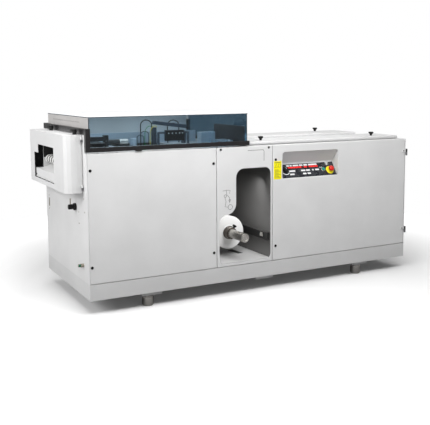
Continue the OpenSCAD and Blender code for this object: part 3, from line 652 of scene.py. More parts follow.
    def _settled_dust(self) -> bpy.types.ShaderNodeTree:
        """A mask of dust: faces that look up, times patchy noise."""
        tree, source, sink, add, link = self._tree(
            "settled_dust", {"Vector": (0.0, 0.0, 0.0), "Amount": 0.1}, {"Mask": "NodeSocketFloat"}
        )
        geometry = add("ShaderNodeNewGeometry")
        split = add("ShaderNodeSeparateXYZ")
        link(geometry.outputs["Normal"], split.inputs[0])
        up = add("ShaderNodeMapRange", in_1=0.5, in_2=1.0)
        link(split.outputs["Z"], up.inputs[0])
        noise = add("ShaderNodeTexNoise", in_2=9.0, in_3=6.0)
        link(source.outputs["Vector"], noise.inputs["Vector"])
        mask = self._math(
            add, link, "MULTIPLY", self._math(add, link, "MULTIPLY", up.outputs[0], noise.outputs["Fac"]),
            source.outputs["Amount"]
        )
        link(mask, sink.inputs["Mask"])
        return tree

    def _soft_mottle(self) -> bpy.types.ShaderNodeTree:
        """A slow variation over tens of centimetres, from 0 to 1, for colour and roughness."""
        tree, source, sink, add, link = self._tree(
            "soft_mottle", {"Vector": (0.0, 0.0, 0.0), "Scale": 4.0}, {"Shade": "NodeSocketFloat"}
        )
        noise = add("ShaderNodeTexNoise", in_3=5.0)
        link(source.outputs["Vector"], noise.inputs["Vector"])
        link(source.outputs["Scale"], noise.inputs["Scale"])
        spread = add("ShaderNodeMapRange", in_1=0.3, in_2=0.7)
        link(noise.outputs["Fac"], spread.inputs[0])
        link(spread.outputs[0], sink.inputs["Shade"])
        return tree

    def material(self, finish: Finish, centre: Point | None = None) -> bpy.types.Material:
        """The finish's material.

        Args:
            finish: The finish.
            centre: A point in millimetres that its grain is centred on.

        Returns:
            The material, shared by every piece with that finish and centre.
        """
        key = replace(
            finish, name=f"{finish.name}_{'_'.join(str(round(c)) for c in centre)}" if centre else finish.name
        )
        if key in self.materials:
            return self.materials[key]
        made = bpy.data.materials.new(key.name)
        made.use_nodes = True
        nodes, link = made.node_tree.nodes, made.node_tree.links.new
        shader = nodes["Principled BSDF"]
        place = nodes.new("ShaderNodeTexCoord")
        mapping = nodes.new("ShaderNodeMapping")
        if centre:
            mapping.inputs["Location"].default_value = tuple(-at(centre))
        link(place.outputs["Object"], mapping.inputs["Vector"])

        def placed(name: str, **values: float) -> bpy.types.Node:
            """A shared group in this material, fed with the mapped coordinates and its own values."""
            node = nodes.new("ShaderNodeGroup")
            node.node_tree = self.group(name)
            link(mapping.outputs[0], node.inputs["Vector"])
            for label, value in values.items():
                node.inputs[label.title()].default_value = value
            return node

        def mixed(factor: bpy.types.NodeSocket, under: object, over: object) -> bpy.types.NodeSocket:
            """Two colours mixed by a mask."""
            node = nodes.new("ShaderNodeMix")
            node.data_type = "RGBA"
            link(factor, node.inputs[0])
            for socket, value in ((node.inputs[6], under), (node.inputs[7], over)):
                if isinstance(value, bpy.types.NodeSocket):
                    link(value, socket)
                else:
                    socket.default_value = (*value, 1.0)
            return node.outputs[2]

        grain = placed(finish.grain.value, scale=1.0)
        mottle = placed("soft_mottle", scale=4.0)
        darker = tuple(c * (1 - finish.mottle) for c in finish.colour)
        lighter = tuple(min(c * (1 + finish.mottle), 1.0) for c in finish.colour)
        colour = mixed(mottle.outputs["Shade"], darker, lighter)
        if finish.grain in (Grain.BRUSHED, Grain.TURNED):
            streak = tuple(c * 0.82 for c in finish.colour)
            colour = mixed(nodes_range(nodes, link, grain.outputs["Shade"], 0.35, 0.75, 0.0, 0.5), colour, streak)
        if finish.wear:
            colour = mixed(placed("edge_wear", amount=finish.wear).outputs["Mask"], colour, finish.wear_colour)
        if finish.dust:
            colour = mixed(placed("settled_dust", amount=finish.dust).outputs["Mask"], colour, (0.62, 0.6, 0.57))
        link(colour, shader.inputs["Base Color"])
        rough = nodes_range(
            nodes, link, grain.outputs["Shade"], 0.2, 0.8, max(finish.roughness - 0.06, 0.0), finish.roughness + 0.06
        )
        if not finish.transmission:
            link(rough, shader.inputs["Roughness"])
        else:
            shader.inputs["Roughness"].default_value = finish.roughness
        if finish.bump:
            bump = nodes.new("ShaderNodeBump")
            bump.inputs["Strength"].default_value = finish.bump
            bump.inputs["Distance"].default_value = 0.0004
            link(grain.outputs["Height"], bump.inputs["Height"])
            link(bump.outputs["Normal"], shader.inputs["Normal"])
        shader.inputs["Metallic"].default_value = finish.metallic
        shader.inputs["Specular IOR Level"].default_value = finish.specular
        shader.inputs["IOR"].default_value = finish.ior
        shader.inputs["Coat Weight"].default_value = finish.coat
        shader.inputs["Coat Roughness"].default_value = 0.12
        shader.inputs["Transmission Weight"].default_value = finish.transmission
        if finish.glow:
            shader.inputs["Emission Color"].default_value = (*finish.colour, 1.0)
            shader.inputs["Emission Strength"].default_value = finish.glow
        self.materials[key] = made
        return made


def nodes_range(
    nodes: bpy.types.Nodes, link: Callable, value: bpy.types.NodeSocket, low: float, high: float, to_low: float,
    to_high: float
) -> bpy.types.NodeSocket:
    """A value carried from one range to another, and held at its ends."""
    node = nodes.new("ShaderNodeMapRange")
    for i, number in enumerate((low, high, to_low, to_high), start=1):
        node.inputs[i].default_value = number
    link(value, node.inputs[0])
    return node.outputs[0]


# ---------------------------------------------------------------- the workshop that makes pieces
@dataclass
class Workshop:
    """Makes Blender objects out of shapes or CAD nodes and puts them on their bodies."""

    frame: dict
    palette: Palette = field(default_factory=Palette)
    made: list[str] = field(default_factory=list)

    def piece(
        self, name: str, shape: Shape, finish: Finish, body: str, replaces: Sequence[str] = (), wall: float = 0.0,
        angle: float = 32.0, centre: Point | None = None
    ) -> bpy.types.Object:
        """A finished piece from a shape.

        Args:
            name: The object's name.
            shape: Its points and faces, in machine millimetres.
            finish: Its finish.
            body: The CAD body it rides on.
            replaces: CAD nodes it stands for.
            wall: Thickness given to an open skin, inwards, or 0 for a closed shape.
            angle: Edges sharper than this many degrees stay sharp.
            centre: The point its grain is centred on.

        Returns:
            The object, at the origin, riding on its body.
        """
        mesh = bpy.data.meshes.new(name)
        mesh.from_pydata(at(shape.points).tolist(), [], shape.faces)
        mesh.validate()
        self._merge(mesh, 2e-6, outward=not wall)
        obj = self._finish(name, mesh, finish, body, angle, centre)
        if wall:
            solid = obj.modifiers.new("wall", "SOLIDIFY")
            solid.thickness, solid.offset, solid.use_even_offset = wall / 1000, -1.0, True
        if replaces:
            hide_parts(*replaces)
        return obj

    def eased(
        self, node: str, finish: Finish, width: float = 0.8, angle: float = 35.0, centre: Point | None = None,
        segments: int = 2
    ) -> bpy.types.Object:
        """A CAD node's shape with its sharp edges eased, standing for the node.

        Args:
            node: The CAD node.
            finish: Its finish.
            width: The easing's width in millimetres.
            angle: Edges sharper than this many degrees are eased.
            centre: The point its grain is centred on.
            segments: Steps across the easing.

        Returns:
            The object.
        """
        source = self.frame["nodes"][node]
        mesh = source.data.copy()
        mesh.materials.clear()
        self._merge(mesh, 5e-6, outward=False, flatten=True)
        obj = self._finish(f"{node}_skin", mesh, finish, source["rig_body"], angle, centre)
        bevel = obj.modifiers.new("eased_edges", "BEVEL")
        bevel.width, bevel.segments = width / 1000, segments
        bevel.limit_method, bevel.angle_limit = "ANGLE", math.radians(angle)
        bevel.harden_normals = True
        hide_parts(node)
        return obj

    @staticmethod
    def _merge(mesh: bpy.types.Mesh, distance: float, outward: bool, flatten: bool = False) -> None:
        """Merges doubled points, drops empty faces, and sets normals or flat faces where asked."""
        work = bmesh.new()
        work.from_mesh(mesh)
        bmesh.ops.remove_doubles(work, verts=work.verts, dist=distance)
        bmesh.ops.dissolve_degenerate(work, edges=work.edges, dist=distance / 2)
        if flatten:
            bmesh.ops.dissolve_limit(
                work, angle_limit=math.radians(0.3), verts=work.verts, edges=work.edges, use_dissolve_boundaries=False
            )
        if outward:
            bmesh.ops.recalc_face_normals(work, faces=work.faces)
        work.to_mesh(mesh)
        work.free()

    def _finish(
        self, name: str, mesh: bpy.types.Mesh, finish: Finish, body: str, angle: float, centre: Point | None,
    ) -> bpy.types.Object:
        """Puts a mesh in the scene with its finish and its body."""
        mesh.polygons.foreach_set("use_smooth", np.ones(len(mesh.polygons), bool))
        mesh.set_sharp_from_angle(angle=math.radians(angle))
        mesh.materials.append(self.palette.material(finish, centre))
        obj = bpy.data.objects.new(name, mesh)
        bpy.context.scene.collection.objects.link(obj)
        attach(obj, body)
        self.made.append(name)
        return obj


# ---------------------------------------------------------------- sub-assemblies
@dataclass
class Underframe:
    """The base pan on its cross-members, and the four levelling feet."""

    gap: float = 95.0
    foot_places: tuple[tuple[str, float, float], ...] = (
        ("foot_front_left", 408, 60), (
            "foot_front_right", 2115, 60
        ), ("foot_rear_left", 408, 920), ("foot_rear_right", 2115, 920),
    )

    def build(self, shop: Workshop) -> None:
        """Makes the pan and the feet."""
        shop.eased("base_frame", BASE, 1.2)
        for name, x, y in self.foot_places:
            shop.piece(
                f"{name}_turned", self.foot().placed(Place((x, y, -self.gap))), FOOT_STEEL, name, [name],
                centre=(x, y, 0)
            )

    def foot(self) -> Shape:
        """One foot about its own axis: sole, ribbed drum, collar and threaded stem, as one turned profile."""
        drum = [(0, 0), (33, 0), (35, 6), (38, 8), (38, 58), (34, 69.7), (20, 69.7), (10, 69.7)]
        thread = [(10 - 0.7 * (i % 2), 70.5 + i * 1.6) for i in range(0, 52)]
        return lathe(eased(drum, 1.6) + thread + [(9, 155), (0, 155)], 56)


@dataclass
class Walls:
    """End walls, rear panels, deck and the fittings on the left end."""

    screw_places: tuple[tuple[float, float], ...] = (
        (905, 556), (905, 460), (75, 636), (62, 553), (190, 538), (184, 466)
    )

    def build(self, shop: Workshop) -> None:
        """Makes the walls and dresses the fittings."""
        shop.eased("left_end_wall", PANEL, 0.8)
        shop.eased("right_end_wall", PANEL, 0.8)
        shop.eased("rear_panels", PANEL, 1.2)
        shop.eased("deck_plate", PANEL, 0.8)
        self.fittings(shop)

    def fittings(self, shop: Workshop) -> None:
        """Screws, scale plate, pointer and air coupling on the left end wall."""
        dome = lathe([(0, 0.01), (5, 0.01), (5, 1.4), (4.2, 2.5), (2.6, 3.0), (2.6, 1.2), (0, 1.2)], 24)
        side = [dome.placed(left_face(y=y, z=z)) for y, z in self.screw_places]
        shop.piece("end_wall_screws", Shape.joined(side), STEEL, "cabinet")
        plate = pad(rounded_rectangle(-907, 478, -893, 538, 3), 2.99).placed(left_face(-3))
        pointer = pad(rounded_rectangle(-377, 563, -363, 600, 2.5), 3.99).placed(left_face(-4))
        shop.piece("scale_plate", Shape.joined([plate, pointer]), BRASS, "cabinet")
        coupling = [
            lathe(eased([(0, 0.01), (10, 0.01), (10, 17), (8, 20), (0, 20)], 0.8), 32).placed(left_face(0, 171, 193)),
            lathe(
                eased([(0, 0.01), (12, 0.01), (12, 8), (9, 9), (9, 12), (12, 13), (12, 18), (8, 20), (0, 20)], 0.8),
                32
            ).placed(left_face(0, 118, 206)),
        ]
        shop.piece("air_coupling", Shape.joined(coupling), BRASS, "cabinet", ["end_wall_fittings"])
        cap = lathe(
            eased([(0, 20.1), (8.6, 20.1), (8.6, 30), (6, 32), (0, 32)], 0.8), 32
        ).placed(left_face(0, 118, 206))
        shop.piece("coupling_cap", cap, CAP_GREEN, "cabinet")


@dataclass
class FrontPanels:
    """The left lift-off panel, the centre panel round the film bay, and the hinged door."""

    top: float = 920.0
    bottom: float = 106.0
    fold: float = 18.0
    left_locks: tuple[tuple[float, float], ...] = ((20, 817), (870, 817), (18, 212), (870, 212))
    door_locks: tuple[tuple[float, float], ...] = ((1358, 818), (1358, 208))
    top_screws: tuple[tuple[float, float], ...] = ((925, 906), (1301, 906))
    corner: float = 4.0

    def build(self, shop: Workshop) -> None:
        """Makes the three panels and what is fastened to them."""
        self.panel(
            shop, "left_panel_skin", 4, 891, [circle(x, z, 4.55) for x, z in self.left_locks], "left_panel",
            "left_panel"
        )
        self.panel(
            shop, "centre_panel_skin", 895, 1331,
            [self.bay_opening(), *(circle(x, z, 4) for x, z in self.top_screws)], "cabinet", "centre_panel"
        )
        recess = rounded_rectangle(1414, 677.3, 1898, 868, [18, 18, 22, 22])
        self.panel(
            shop, "door_skin", 1335, 2533, [recess, *(circle(x, z, 4.55) for x, z in self.door_locks)], "right_door",
            "right_door"
        )
        shop.piece(
            "left_panel_turn_locks", Shape.joined([self.turn_lock(x, z) for x, z in self.left_locks]), BLACK_PLASTIC,
            "left_panel", ["left_panel_locks"]
        )
        shop.piece(
            "door_turn_locks", Shape.joined([self.turn_lock(x, z) for x, z in self.door_locks]), BLACK_PLASTIC,
            "right_door", ["door_locks"]
        )
        shop.piece(
            "centre_panel_screw_heads", Shape.joined([self.screw(x, z) for x, z in self.top_screws]), BLACK_STEEL,
            "cabinet", ["centre_panel_screws"]
        )
        self.hinges(shop)
        self.label(shop)
        self.film_path_lines(shop)

    def panel(
        self, shop: Workshop, name: str, x0: float, x1: float, holes: Sequence[np.ndarray], body: str, node: str
    ) -> None:
        """One folded panel: a pressed skin with a 2 mm wall.

        Args:
            shop: The workshop.
            name: The piece's name.
            x0, x1: The panel's ends.
            holes: Outlines of its holes.
            body: Its body.
            node: The CAD node it stands for.
        """
        outline = rounded_rectangle(x0, self.bottom, x1, self.top, self.corner)
        shop.piece(name, pressed(outline, holes, 3.0, self.fold).placed(front_face()), PANEL, body, [node], wall=2.0)

    def bay_opening(self) -> np.ndarray:
        """The bay's outline: a low part and a tall part joined by a concave quarter circle."""
        low = rounded_rectangle(912, 123, 1317, 461, [32, 40, 0.01, 54])
        tall = rounded_rectangle(1042, 400, 1317, 771, [0.01, 0.01, 45, 60])
        a = np.radians(np.linspace(-90, 0, 13))
        fillet = np.stack([967 + 75 * np.cos(a), 536 + 75 * np.sin(a)], axis=1)
        quarter = 7
        return np.concatenate([low[: 2 * quarter], tall[2 * quarter :], fillet[::-1], low[3 * quarter :]])

    def turn_lock(self, x: float, z: float) -> Shape:
        """A slotted quarter-turn lock: a domed head with a slot across it, on a short body behind the panel."""
        head = lathe(
            eased([(4.5, -8), (4.5, -0.2), (4.5, 0.01), (9.5, 0.01), (9.5, 2.2), (7.5, 3.0), (0, 3.0)], 0.6), 32
        )
        tail = lathe([(0, -13.9), (4.5, -13.9), (4.5, -8)], 32)
        slot = pad(rounded_rectangle(-6.6, -1.1, 6.6, 1.1, 0.5), 0.4).lifted(3.25)
        return Shape.joined([s.placed(front_face(x=x, z=z)) for s in (tail, head, slot)])

    def screw(self, x: float, z: float) -> Shape:
        """A low button screw with a socket, seen from the front."""
        head = lathe(
            eased(
                [
                    (0, -11.9), (3.8, -11.9), (3.8, 0.01), (8.5, 0.01), (8.5, 1.2), (6, 3.0), (2.6, 3.0), (2.6, 1.0),
                    (0, 1.0)
                ],
                0.4
            ),
            32
        )
        return head.placed(front_face(x=x, z=z))

    def hinges(self, shop: Workshop) -> None:
        """The door's hinge leaves with their barrels, and the fixed leaves and pins of every hinge."""
        shop.eased("fixed_hinges", HINGE, 0.6)
        leaves, barrels = [], []
        for z in (187, 791):
            upper = z + 25
            leaves.append(pad(rounded_rectangle(2507, upper, 2533, z + 50, 3), 2.99).placed(front_face(-3)))
            leaves.append(pad(rounded_rectangle(2532, upper, 2542.5, z + 50, 0.5), 2.4).placed(front_face(-3)))
            barrels.append(
                lathe(
                    eased([(4.06, 25), (7, 25), (7, 50), (0, 50), (0, 47.2), (4.06, 47.2)], 0.7), 32
                ).placed(Place((2547, -3, z)))
            )
            screw = lathe(eased([(0, 0), (4.6, 0), (4.6, 0.9), (2.4, 1.6), (0, 1.6)], 0.4), 20)
            barrels.append(screw.placed(front_face(-3, 2518, z + 37)))
        shop.piece("door_hinge_leaves", Shape.joined(leaves), PANEL, "right_door")
        shop.piece("door_hinge_barrels", Shape.joined(barrels), BLACK_STEEL, "right_door")

    def label(self, shop: Workshop) -> None:
        """A plain yellow notice with generic ruled lines and blank pictograms, at the door's lock side."""
        plate = pad(rounded_rectangle(1342, 679, 1406, 807, 4), 0.5).placed(front_face(-0.5))
        shop.piece("notice_plate", plate, NOTICE_YELLOW, "right_door")
        marks = [strip([(1350, z), (1398 - 9 * (i % 3), z)], 2.4) for i, z in enumerate(range(690, 752, 7))]
        marks += [
            strip([(1350, 764), (1362, 786), (1374, 764), (1350, 764)], 2.2),
            strip([(1380, 764), (1398, 764), (1398, 786), (1380, 786), (1380, 764)], 2.2)
        ]
        marks += [strip([(1350, 796), (1398, 796)], 4.5)]
        shop.piece(
            "notice_marks", Shape.joined(marks).placed(front_face(-0.5)), NOTICE_INK, "right_door"
        )

    def film_path_lines(self, shop: Workshop) -> None:
        """A generic threading sketch beside the bay and a thin plate outline above it, as raised lines."""
        sketch = [
            [(938, 627), (966, 631), (995, 629), (991, 607)],
            [(966, 629), (969, 599), (989, 580), (991, 543)],
            [(954, 585), (963, 553), (956, 519), (978, 515)],
        ]
        rings = [
            np.vstack([c, c[:1]])
            for c in (circle(996, 514, 17, 20), circle(958, 592, 9, 14), circle(992, 560, 7, 12))
        ]
        lines = [strip(s, 2.6) for s in [*sketch, *rings]]
        a = np.radians(np.linspace(90, 0, 8))
        corner = np.stack([1251 + 12 * np.cos(a), 880 + 12 * np.sin(a)], axis=1)
        lines.append(strip([(1135, 892), *corner, (1263, 816)], 3.0))
        shop.piece(
            "front_markings", Shape.joined(lines).placed(front_face()), MARKING_INK, "cabinet"
        )


@dataclass
class ControlStation:
    """The sloping control panel in the door's recess."""

    left: float = 1415.0
    right: float = 1897.0
    length: float = 116.0
    knob_spot: tuple[float, float] = (1466, 62)
    start_spot: tuple[float, float] = (1789, 51)
    stop_spot: tuple[float, float] = (1843, 42)

    def spot(self, place: tuple[float, float]) -> Place:
        """The frame of a control that stands on the slope."""
        return Place(tuple(SLOPE.carry(np.array([*place, 0.0]))), SLOPE.ex, SLOPE.ey, SLOPE.ez)

    def build(self, shop: Workshop) -> None:
        """Makes the tray, the printed panel and its controls."""
        shop.eased("control_tray", TRAY, 1.0)
        self.panel(shop)
        self.displays(shop)
        self.keys(shop)
        self.speed_knob(shop)
        self.buttons(shop)

    def panel(self, shop: Workshop) -> None:
        """The black foil with holes for the controls, and its light border and legend lines."""
        holes = [circle(*self.knob_spot, 4.05), circle(*self.start_spot, 8.05), circle(*self.stop_spot, 10.05)]
        foil = pressed(rounded_rectangle(self.left, 1, self.right, 1 + self.length, 3), holes, 0.5, 2.0, 0.3, 1.6)
        shop.piece("control_foil", foil.placed(SLOPE), FOIL, "right_door", ["control_panel"], wall=1.0)
        u, v = self.knob_spot
        lines = [
            strip([(self.left + 3, 113.5), (self.right - 3, 113.5)], 5.0),
            strip([(self.right - 3, 113.5), (self.right - 3, 8)], 2.6)
        ]
        arc = np.radians(np.linspace(215, 325, 15))
        lines.append(strip(np.stack([u + 33 * np.cos(arc), v + 33 * np.sin(arc)], axis=1), 5.0))
        lines += [strip([(x, h), (x + w, h)], 3.0) for x, h, w in ((1762, 69, 26), (1822, 92, 12), (1838, 92, 12))]
        lines += [strip([(1822, 103), (1850, 103)], 5.0), strip([(1836, 102), (1836, 84)], 3.5)]
        shop.piece(
            "panel_legends", Shape.joined(lines).placed(SLOPE), LEGEND_WHITE, "right_door"
        )

    def displays(self, shop: Workshop) -> None:
        """A red filter window with three groups of lit segments on it."""
        window = pad(rounded_rectangle(1491, 74, 1753, 88, 2), 1.2, 0.3).lifted(1.21)
        shop.piece("display_filter", window.placed(SLOPE), RED_FILTER, "right_door", ["display_window"])
        bars = []
        for x0, x1 in ((1493, 1615), (1631, 1661), (1673, 1752)):
            for x in np.arange(x0, x1 - 10, 13.0):
                bars += [pad(rounded_rectangle(x, z, x + 11, z + 3.2, 0.8), 0.3, 0.1) for z in (75.5, 83.5)]
                bars += [pad(rounded_rectangle(x + d, 76, x + d + 3, 86, 0.8), 0.3, 0.1) for d in (0, 8)]
        lit = Shape.joined(bars).lifted(1.5)
        shop.piece("lit_segments", lit.placed(SLOPE), LIT_RED, "right_door")

    def keys(self, shop: Workshop) -> None:
        """Groups of small domed keys on light fields, in four rows up the slope."""
        rows = {
            91: ((1485, 1508), (1514, 1532), (1540, 1588), (1594, 1624), (1633, 1664), (1674, 1748)),
            47: ((1494, 1546), (1596, 1633), (1640, 1672), (1692, 1706), (1719, 1752)),
            21: ((1493, 1531), (1604, 1633), (1643, 1672)),
        }
        plates, caps = [], []
        for v, groups in rows.items():
            for x0, x1 in groups:
                plates.append(pad(rounded_rectangle(x0, v, x1, v + 12, 2), 0.4, 0.15))
                count = max(round((x1 - x0) / 12), 1)
                step = (x1 - x0) / count
                caps += [
                    pad(
                        rounded_rectangle(x0 + 1.5 + step * i, v + 1.5, x0 - 1.5 + step * (i + 1), v + 10.5, 1.8),
                        0.8, 0.5
                    )
                    for i in range(count)
                ]
        shop.piece(
            "key_fields", Shape.joined(plates).lifted(0.4).placed(SLOPE), KEY_FIELD_WHITE, "right_door",
        )
        shop.piece(
            "key_caps", Shape.joined(caps).lifted(1.15).placed(SLOPE), KEY_CAP, "right_door"
        )

    def speed_knob(self, shop: Workshop) -> None:
        """A fluted knob on a skirt with a white pointer."""
        place = self.spot(self.knob_spot)
        profile = [
            (0, -14), (4, -14), (4, 0.3), (24, 0.3), (25, 1.5), (25, 3.6), (23, 4.3), (22, 5), (21, 10), (19.6, 17),
            (18.8, 19.4), (17, 20), (0, 20)
        ]
        depth = [0, 0, 0, 0, 0, 0, 0, 1.6, 1.6, 1.6, 1.2, 0, 0]
        shop.piece(
            "speed_knob_fluted", lathe(profile, 144, 18, depth).placed(place), BLACK_PLASTIC, "speed_knob",
            ["speed_knob"]
        )
        mark = strip([(0, 2), (0, 16)], 1.8).lifted(19.9)
        shop.piece("speed_knob_pointer", mark.placed(place), POINTER_WHITE, "speed_knob")

    def buttons(self, shop: Workshop) -> None:
        """Start button in its ring, and the emergency stop on its yellow collar."""
        start = self.spot(self.start_spot)
        shop.piece(
            "start_cap",
            lathe(eased([(0, -14), (8, -14), (8, 5), (12, 5), (12, 9), (9, 10), (0, 9.4)], 0.8), 48).placed(start),
            GREEN, "start_button", ["start_button"]
        )
        ring = lathe(eased([(12.6, 0.05), (15, 0.05), (15, 2.4), (12.6, 3.0), (12.6, 0.05)], 0.5), 48)
        shop.piece("start_ring", ring.placed(start), STEEL, "right_door")
        stop = self.spot(self.stop_spot)
        collar = lathe(
            eased(
                [
                    (10.1, 0.01), (31, 0.01), (31, 2.4), (30, 3), (21, 3), (17.4, 11.6), (16, 12), (10.1, 12),
                    (10.1, 0.01)
                ],
                0.8
            ),
            64
        )
        shop.piece("stop_collar_ring", collar.placed(stop), YELLOW, "right_door", ["stop_collar"])
        head = lathe(
            eased([(0, -14), (10, -14), (10, 20), (18, 20), (21, 25), (19.4, 32), (13, 37.5), (0, 40)], 1.5, 4), 64
        )
        shop.piece("stop_mushroom", head.placed(stop), RED, "stop_head", ["stop_head"])


@dataclass
class DeckCovers:
    """The two flat covers on the deck and their star knobs."""

    knob_places: tuple[tuple[str, float, float, float], ...] = (
        ("star_knob_left", 1329, 155, 945), ("star_knob_right", 2310, 135, 945), ("star_knob_rear", 2115, 600, 962),
    )

    def build(self, shop: Workshop) -> None:
        """Makes the covers and knobs."""
        holes = [circle(x, y, 5.05) for _, x, y, _ in self.knob_places]
        front = pressed(rounded_rectangle(1147, 50, 2500, 348, 5), holes[:2], 3.0, 20.0)
        rear = pressed(rounded_rectangle(1147, 351, 2335, 640, 5), holes[2:], 3.0, 37.0)
        shop.piece(
            "front_cover_skin", front.placed(top_face(945)), PANEL, "front_top_cover", ["front_top_cover"], wall=2.0
        )
        shop.piece(
            "rear_cover_skin", rear.placed(top_face(962)), PANEL, "rear_top_cover", ["rear_top_cover"], wall=2.0
        )
        for name, x, y, z in self.knob_places:
            shop.piece(f"{name}_grip", self.knob().placed(Place((x, y, z))), BLACK_PLASTIC, name, [name])

    def knob(self) -> Shape:
        """A star knob: a stem, a flared neck and a six-lobed head, one lobed surface of revolution."""
        profile = [
            (0, -28), (5, -28), (5, 0.3), (9, 0.3), (9, 8), (11, 12), (15, 16), (19.4, 19), (20, 21), (20, 26),
            (19, 28.4), (16, 29), (0, 29)
        ]
        depth = [0, 0, 0, 0, 0, 0, 1, 4.5, 5.5, 5.5, 5, 4, 0]
        return lathe(profile, 96, 6, depth)


@dataclass
class Canopy:
    """The lift-up canopy: black frame, tinted front window, and light sheets."""

    thickness: float = 4.0
    limits: tuple[float, ...] = (18.0, 1134.0, 6.0, 937.0, 1074.1, 1145.0)

    def build(self, shop: Workshop) -> None:
        """Makes the frame, the window, the sheets and the details on them."""
        shop.eased("canopy_frame", CANOPY_BLACK, 1.5)
        shop.eased("canopy_window", TINT, 0.4)
        self.sheets(shop)
        self.edging(shop)
        self.side_slots(shop)

    def sheets(self, shop: Workshop) -> None:
        """The light left, top and back sheets, and the tinted right one, as plates of the canopy's thickness. The top
        sheet's glow is painted light, and the right sheet's darker tint is painted shade.
        """
        t = self.thickness
        x0, x1, y0, y1, z0, z1 = self.limits
        left = box((x0, y0 + 1, z0), (x0 + t, y1, z1 - 1.5))
        top = box((x0, y0 + 1, z1 - t), (x1, y1, z1))
        back = box((25.1, y1 - t, 931), (1114, y1 - 0.1, z1 - t))
        right = box((x1 - t, y0 + t, 958.1), (x1, 924.9, z1 - t))
        shop.piece("canopy_left_sheet", left, CANOPY_GREY, "canopy", ["canopy_sheets"])
        # Its glow is painted light.
        shop.piece("canopy_top_sheet", top, CANOPY_TOP_PAINTED_GLOW, "canopy", ["canopy_sheets"])
        shop.piece("canopy_back_sheet", back, CANOPY_WHITE, "canopy", ["canopy_sheets"])
        # Its darker tint is painted shade.
        shop.piece("canopy_right_sheet", right, SHADED_RIGHT_TINT, "canopy", ["canopy_sheets"])

    def edging(self, shop: Workshop) -> None:
        """The thin dark edging where the sheets meet: strips along two top edges, and the corner post."""
        front = box((17, 4.9, 1140.6), (1134, 5.9, 1144.9))
        left = box((16.7, 5.9, 1140.6), (17.9, 936.5, 1144.9))
        post = box((17, 4.9, 1074.3), (23, 5.9, 1140.6))
        shop.piece("canopy_edging", Shape.joined([front, left, post]), BEAM, "canopy")

    def side_slots(self, shop: Workshop) -> None:
        """A row of short vent slots in the left sheet, as shallow dark recesses."""
        slots = [pad(rounded_rectangle(-y - 12, 1104, -y, 1112, 2.4), 0.3, 0.1) for y in range(190, 790, 22)]
        shop.piece(
            "side_vent_slots", Shape.joined(slots).placed(left_face(17.7)), SLOT_SHADOW, "canopy"
        )


@dataclass
class WrappingSection:
    """What stands on the table under the canopy."""

    table_top: float = 920.2
    hose_loops: tuple[tuple[float, float, float, float, float], ...] = (
        (580, 460, 84, 1055, 4.0), (850, 600, 90, 1040, 4.0), (560, 440, 60, 990, 2.6), (520, 420, 50, 970, 2.4),
    )
    wire_runs: tuple[tuple[str, float, float, Colour], ...] = (
        ("green", 556, 428, (0.02, 0.30, 0.10)), ("yellow", 596, 428, (0.75, 0.62, 0.02)),
    )
    screw_xs: tuple[float, ...] = (716, 744, 772, 800, 822)

    def build(self, shop: Workshop) -> None:
        """Dresses the table, rail, beam, carriage and units, and lays the hoses."""
        shop.eased("wrapping_table", TABLE, 0.8)
        shop.eased("guide_rail", BLACK_STEEL, 1.0)
        shop.eased("cross_beam", BEAM, 1.0)
        shop.eased("carriage", BLACK_PLASTIC, 1.5)
        shop.eased("table_units", ALUMINIUM, 1.0)
        self.hoses(shop)
        self.carriage_dots(shop)
        self.wires(shop)

    def wires(self, shop: Workshop) -> None:
        """Two thin coloured wires to the beam, and the bright end of the rail's rod."""
        for label, x, y, colour in self.wire_runs:
            path = [
                (x, y, self.table_top), (x, y, 990), (x + 6, y, 1030), (x + 30, y + 12, 1052), (x + 62, y + 40, 1052),
                (x + 90, y + 92, 1040)
            ]
            shop.piece(
                f"wire_{label}", tube(path, 2.2, 8, 4), replace(HOSE, name=f"wire_{label}", colour=colour), "cabinet",
            )
        end = lathe(
            eased([(17.2, 380), (17.8, 380), (17.8, 441), (0, 441), (0, 440.2), (17.2, 440.2), (17.2, 380)], 0.3), 40
        )
        shop.piece("rail_rod_end", end.placed(along_x(463, 954)), STEEL, "cabinet")

    def hoses(self, shop: Workshop) -> None:
        """Hoses and wires between fittings on the table: two upright legs joined by a half circle, swept sideways."""
        tubes = []
        for x, y, width, top, r in self.hose_loops:
            a = np.linspace(0, math.pi, 15)
            arch = np.stack(
                [x - width / 2 * np.cos(a), np.full(15, float(y)) + 6 * np.sin(2 * a), top + width / 2 * np.sin(a)],
                axis=1
            )
            run = np.concatenate([[(x - width / 2, y, self.table_top)], arch, [(x + width / 2, y, self.table_top)]])
            tubes.append(tube(run, r, 10))
        shop.piece("hose_runs", Shape.joined(tubes), HOSE, "cabinet", ["hose_loops"])

    def carriage_dots(self, shop: Workshop) -> None:
        """White adjusting screws on the carriage's face."""
        dots = [
            lathe([(0, 0), (4, 0), (4, 1.2), (2.5, 2), (0, 2)], 20).placed(front_face(380, x, 1004))
            for x in self.screw_xs
        ]
        shop.piece("carriage_screws", Shape.joined(dots), SCREW_WHITE, "carriage")


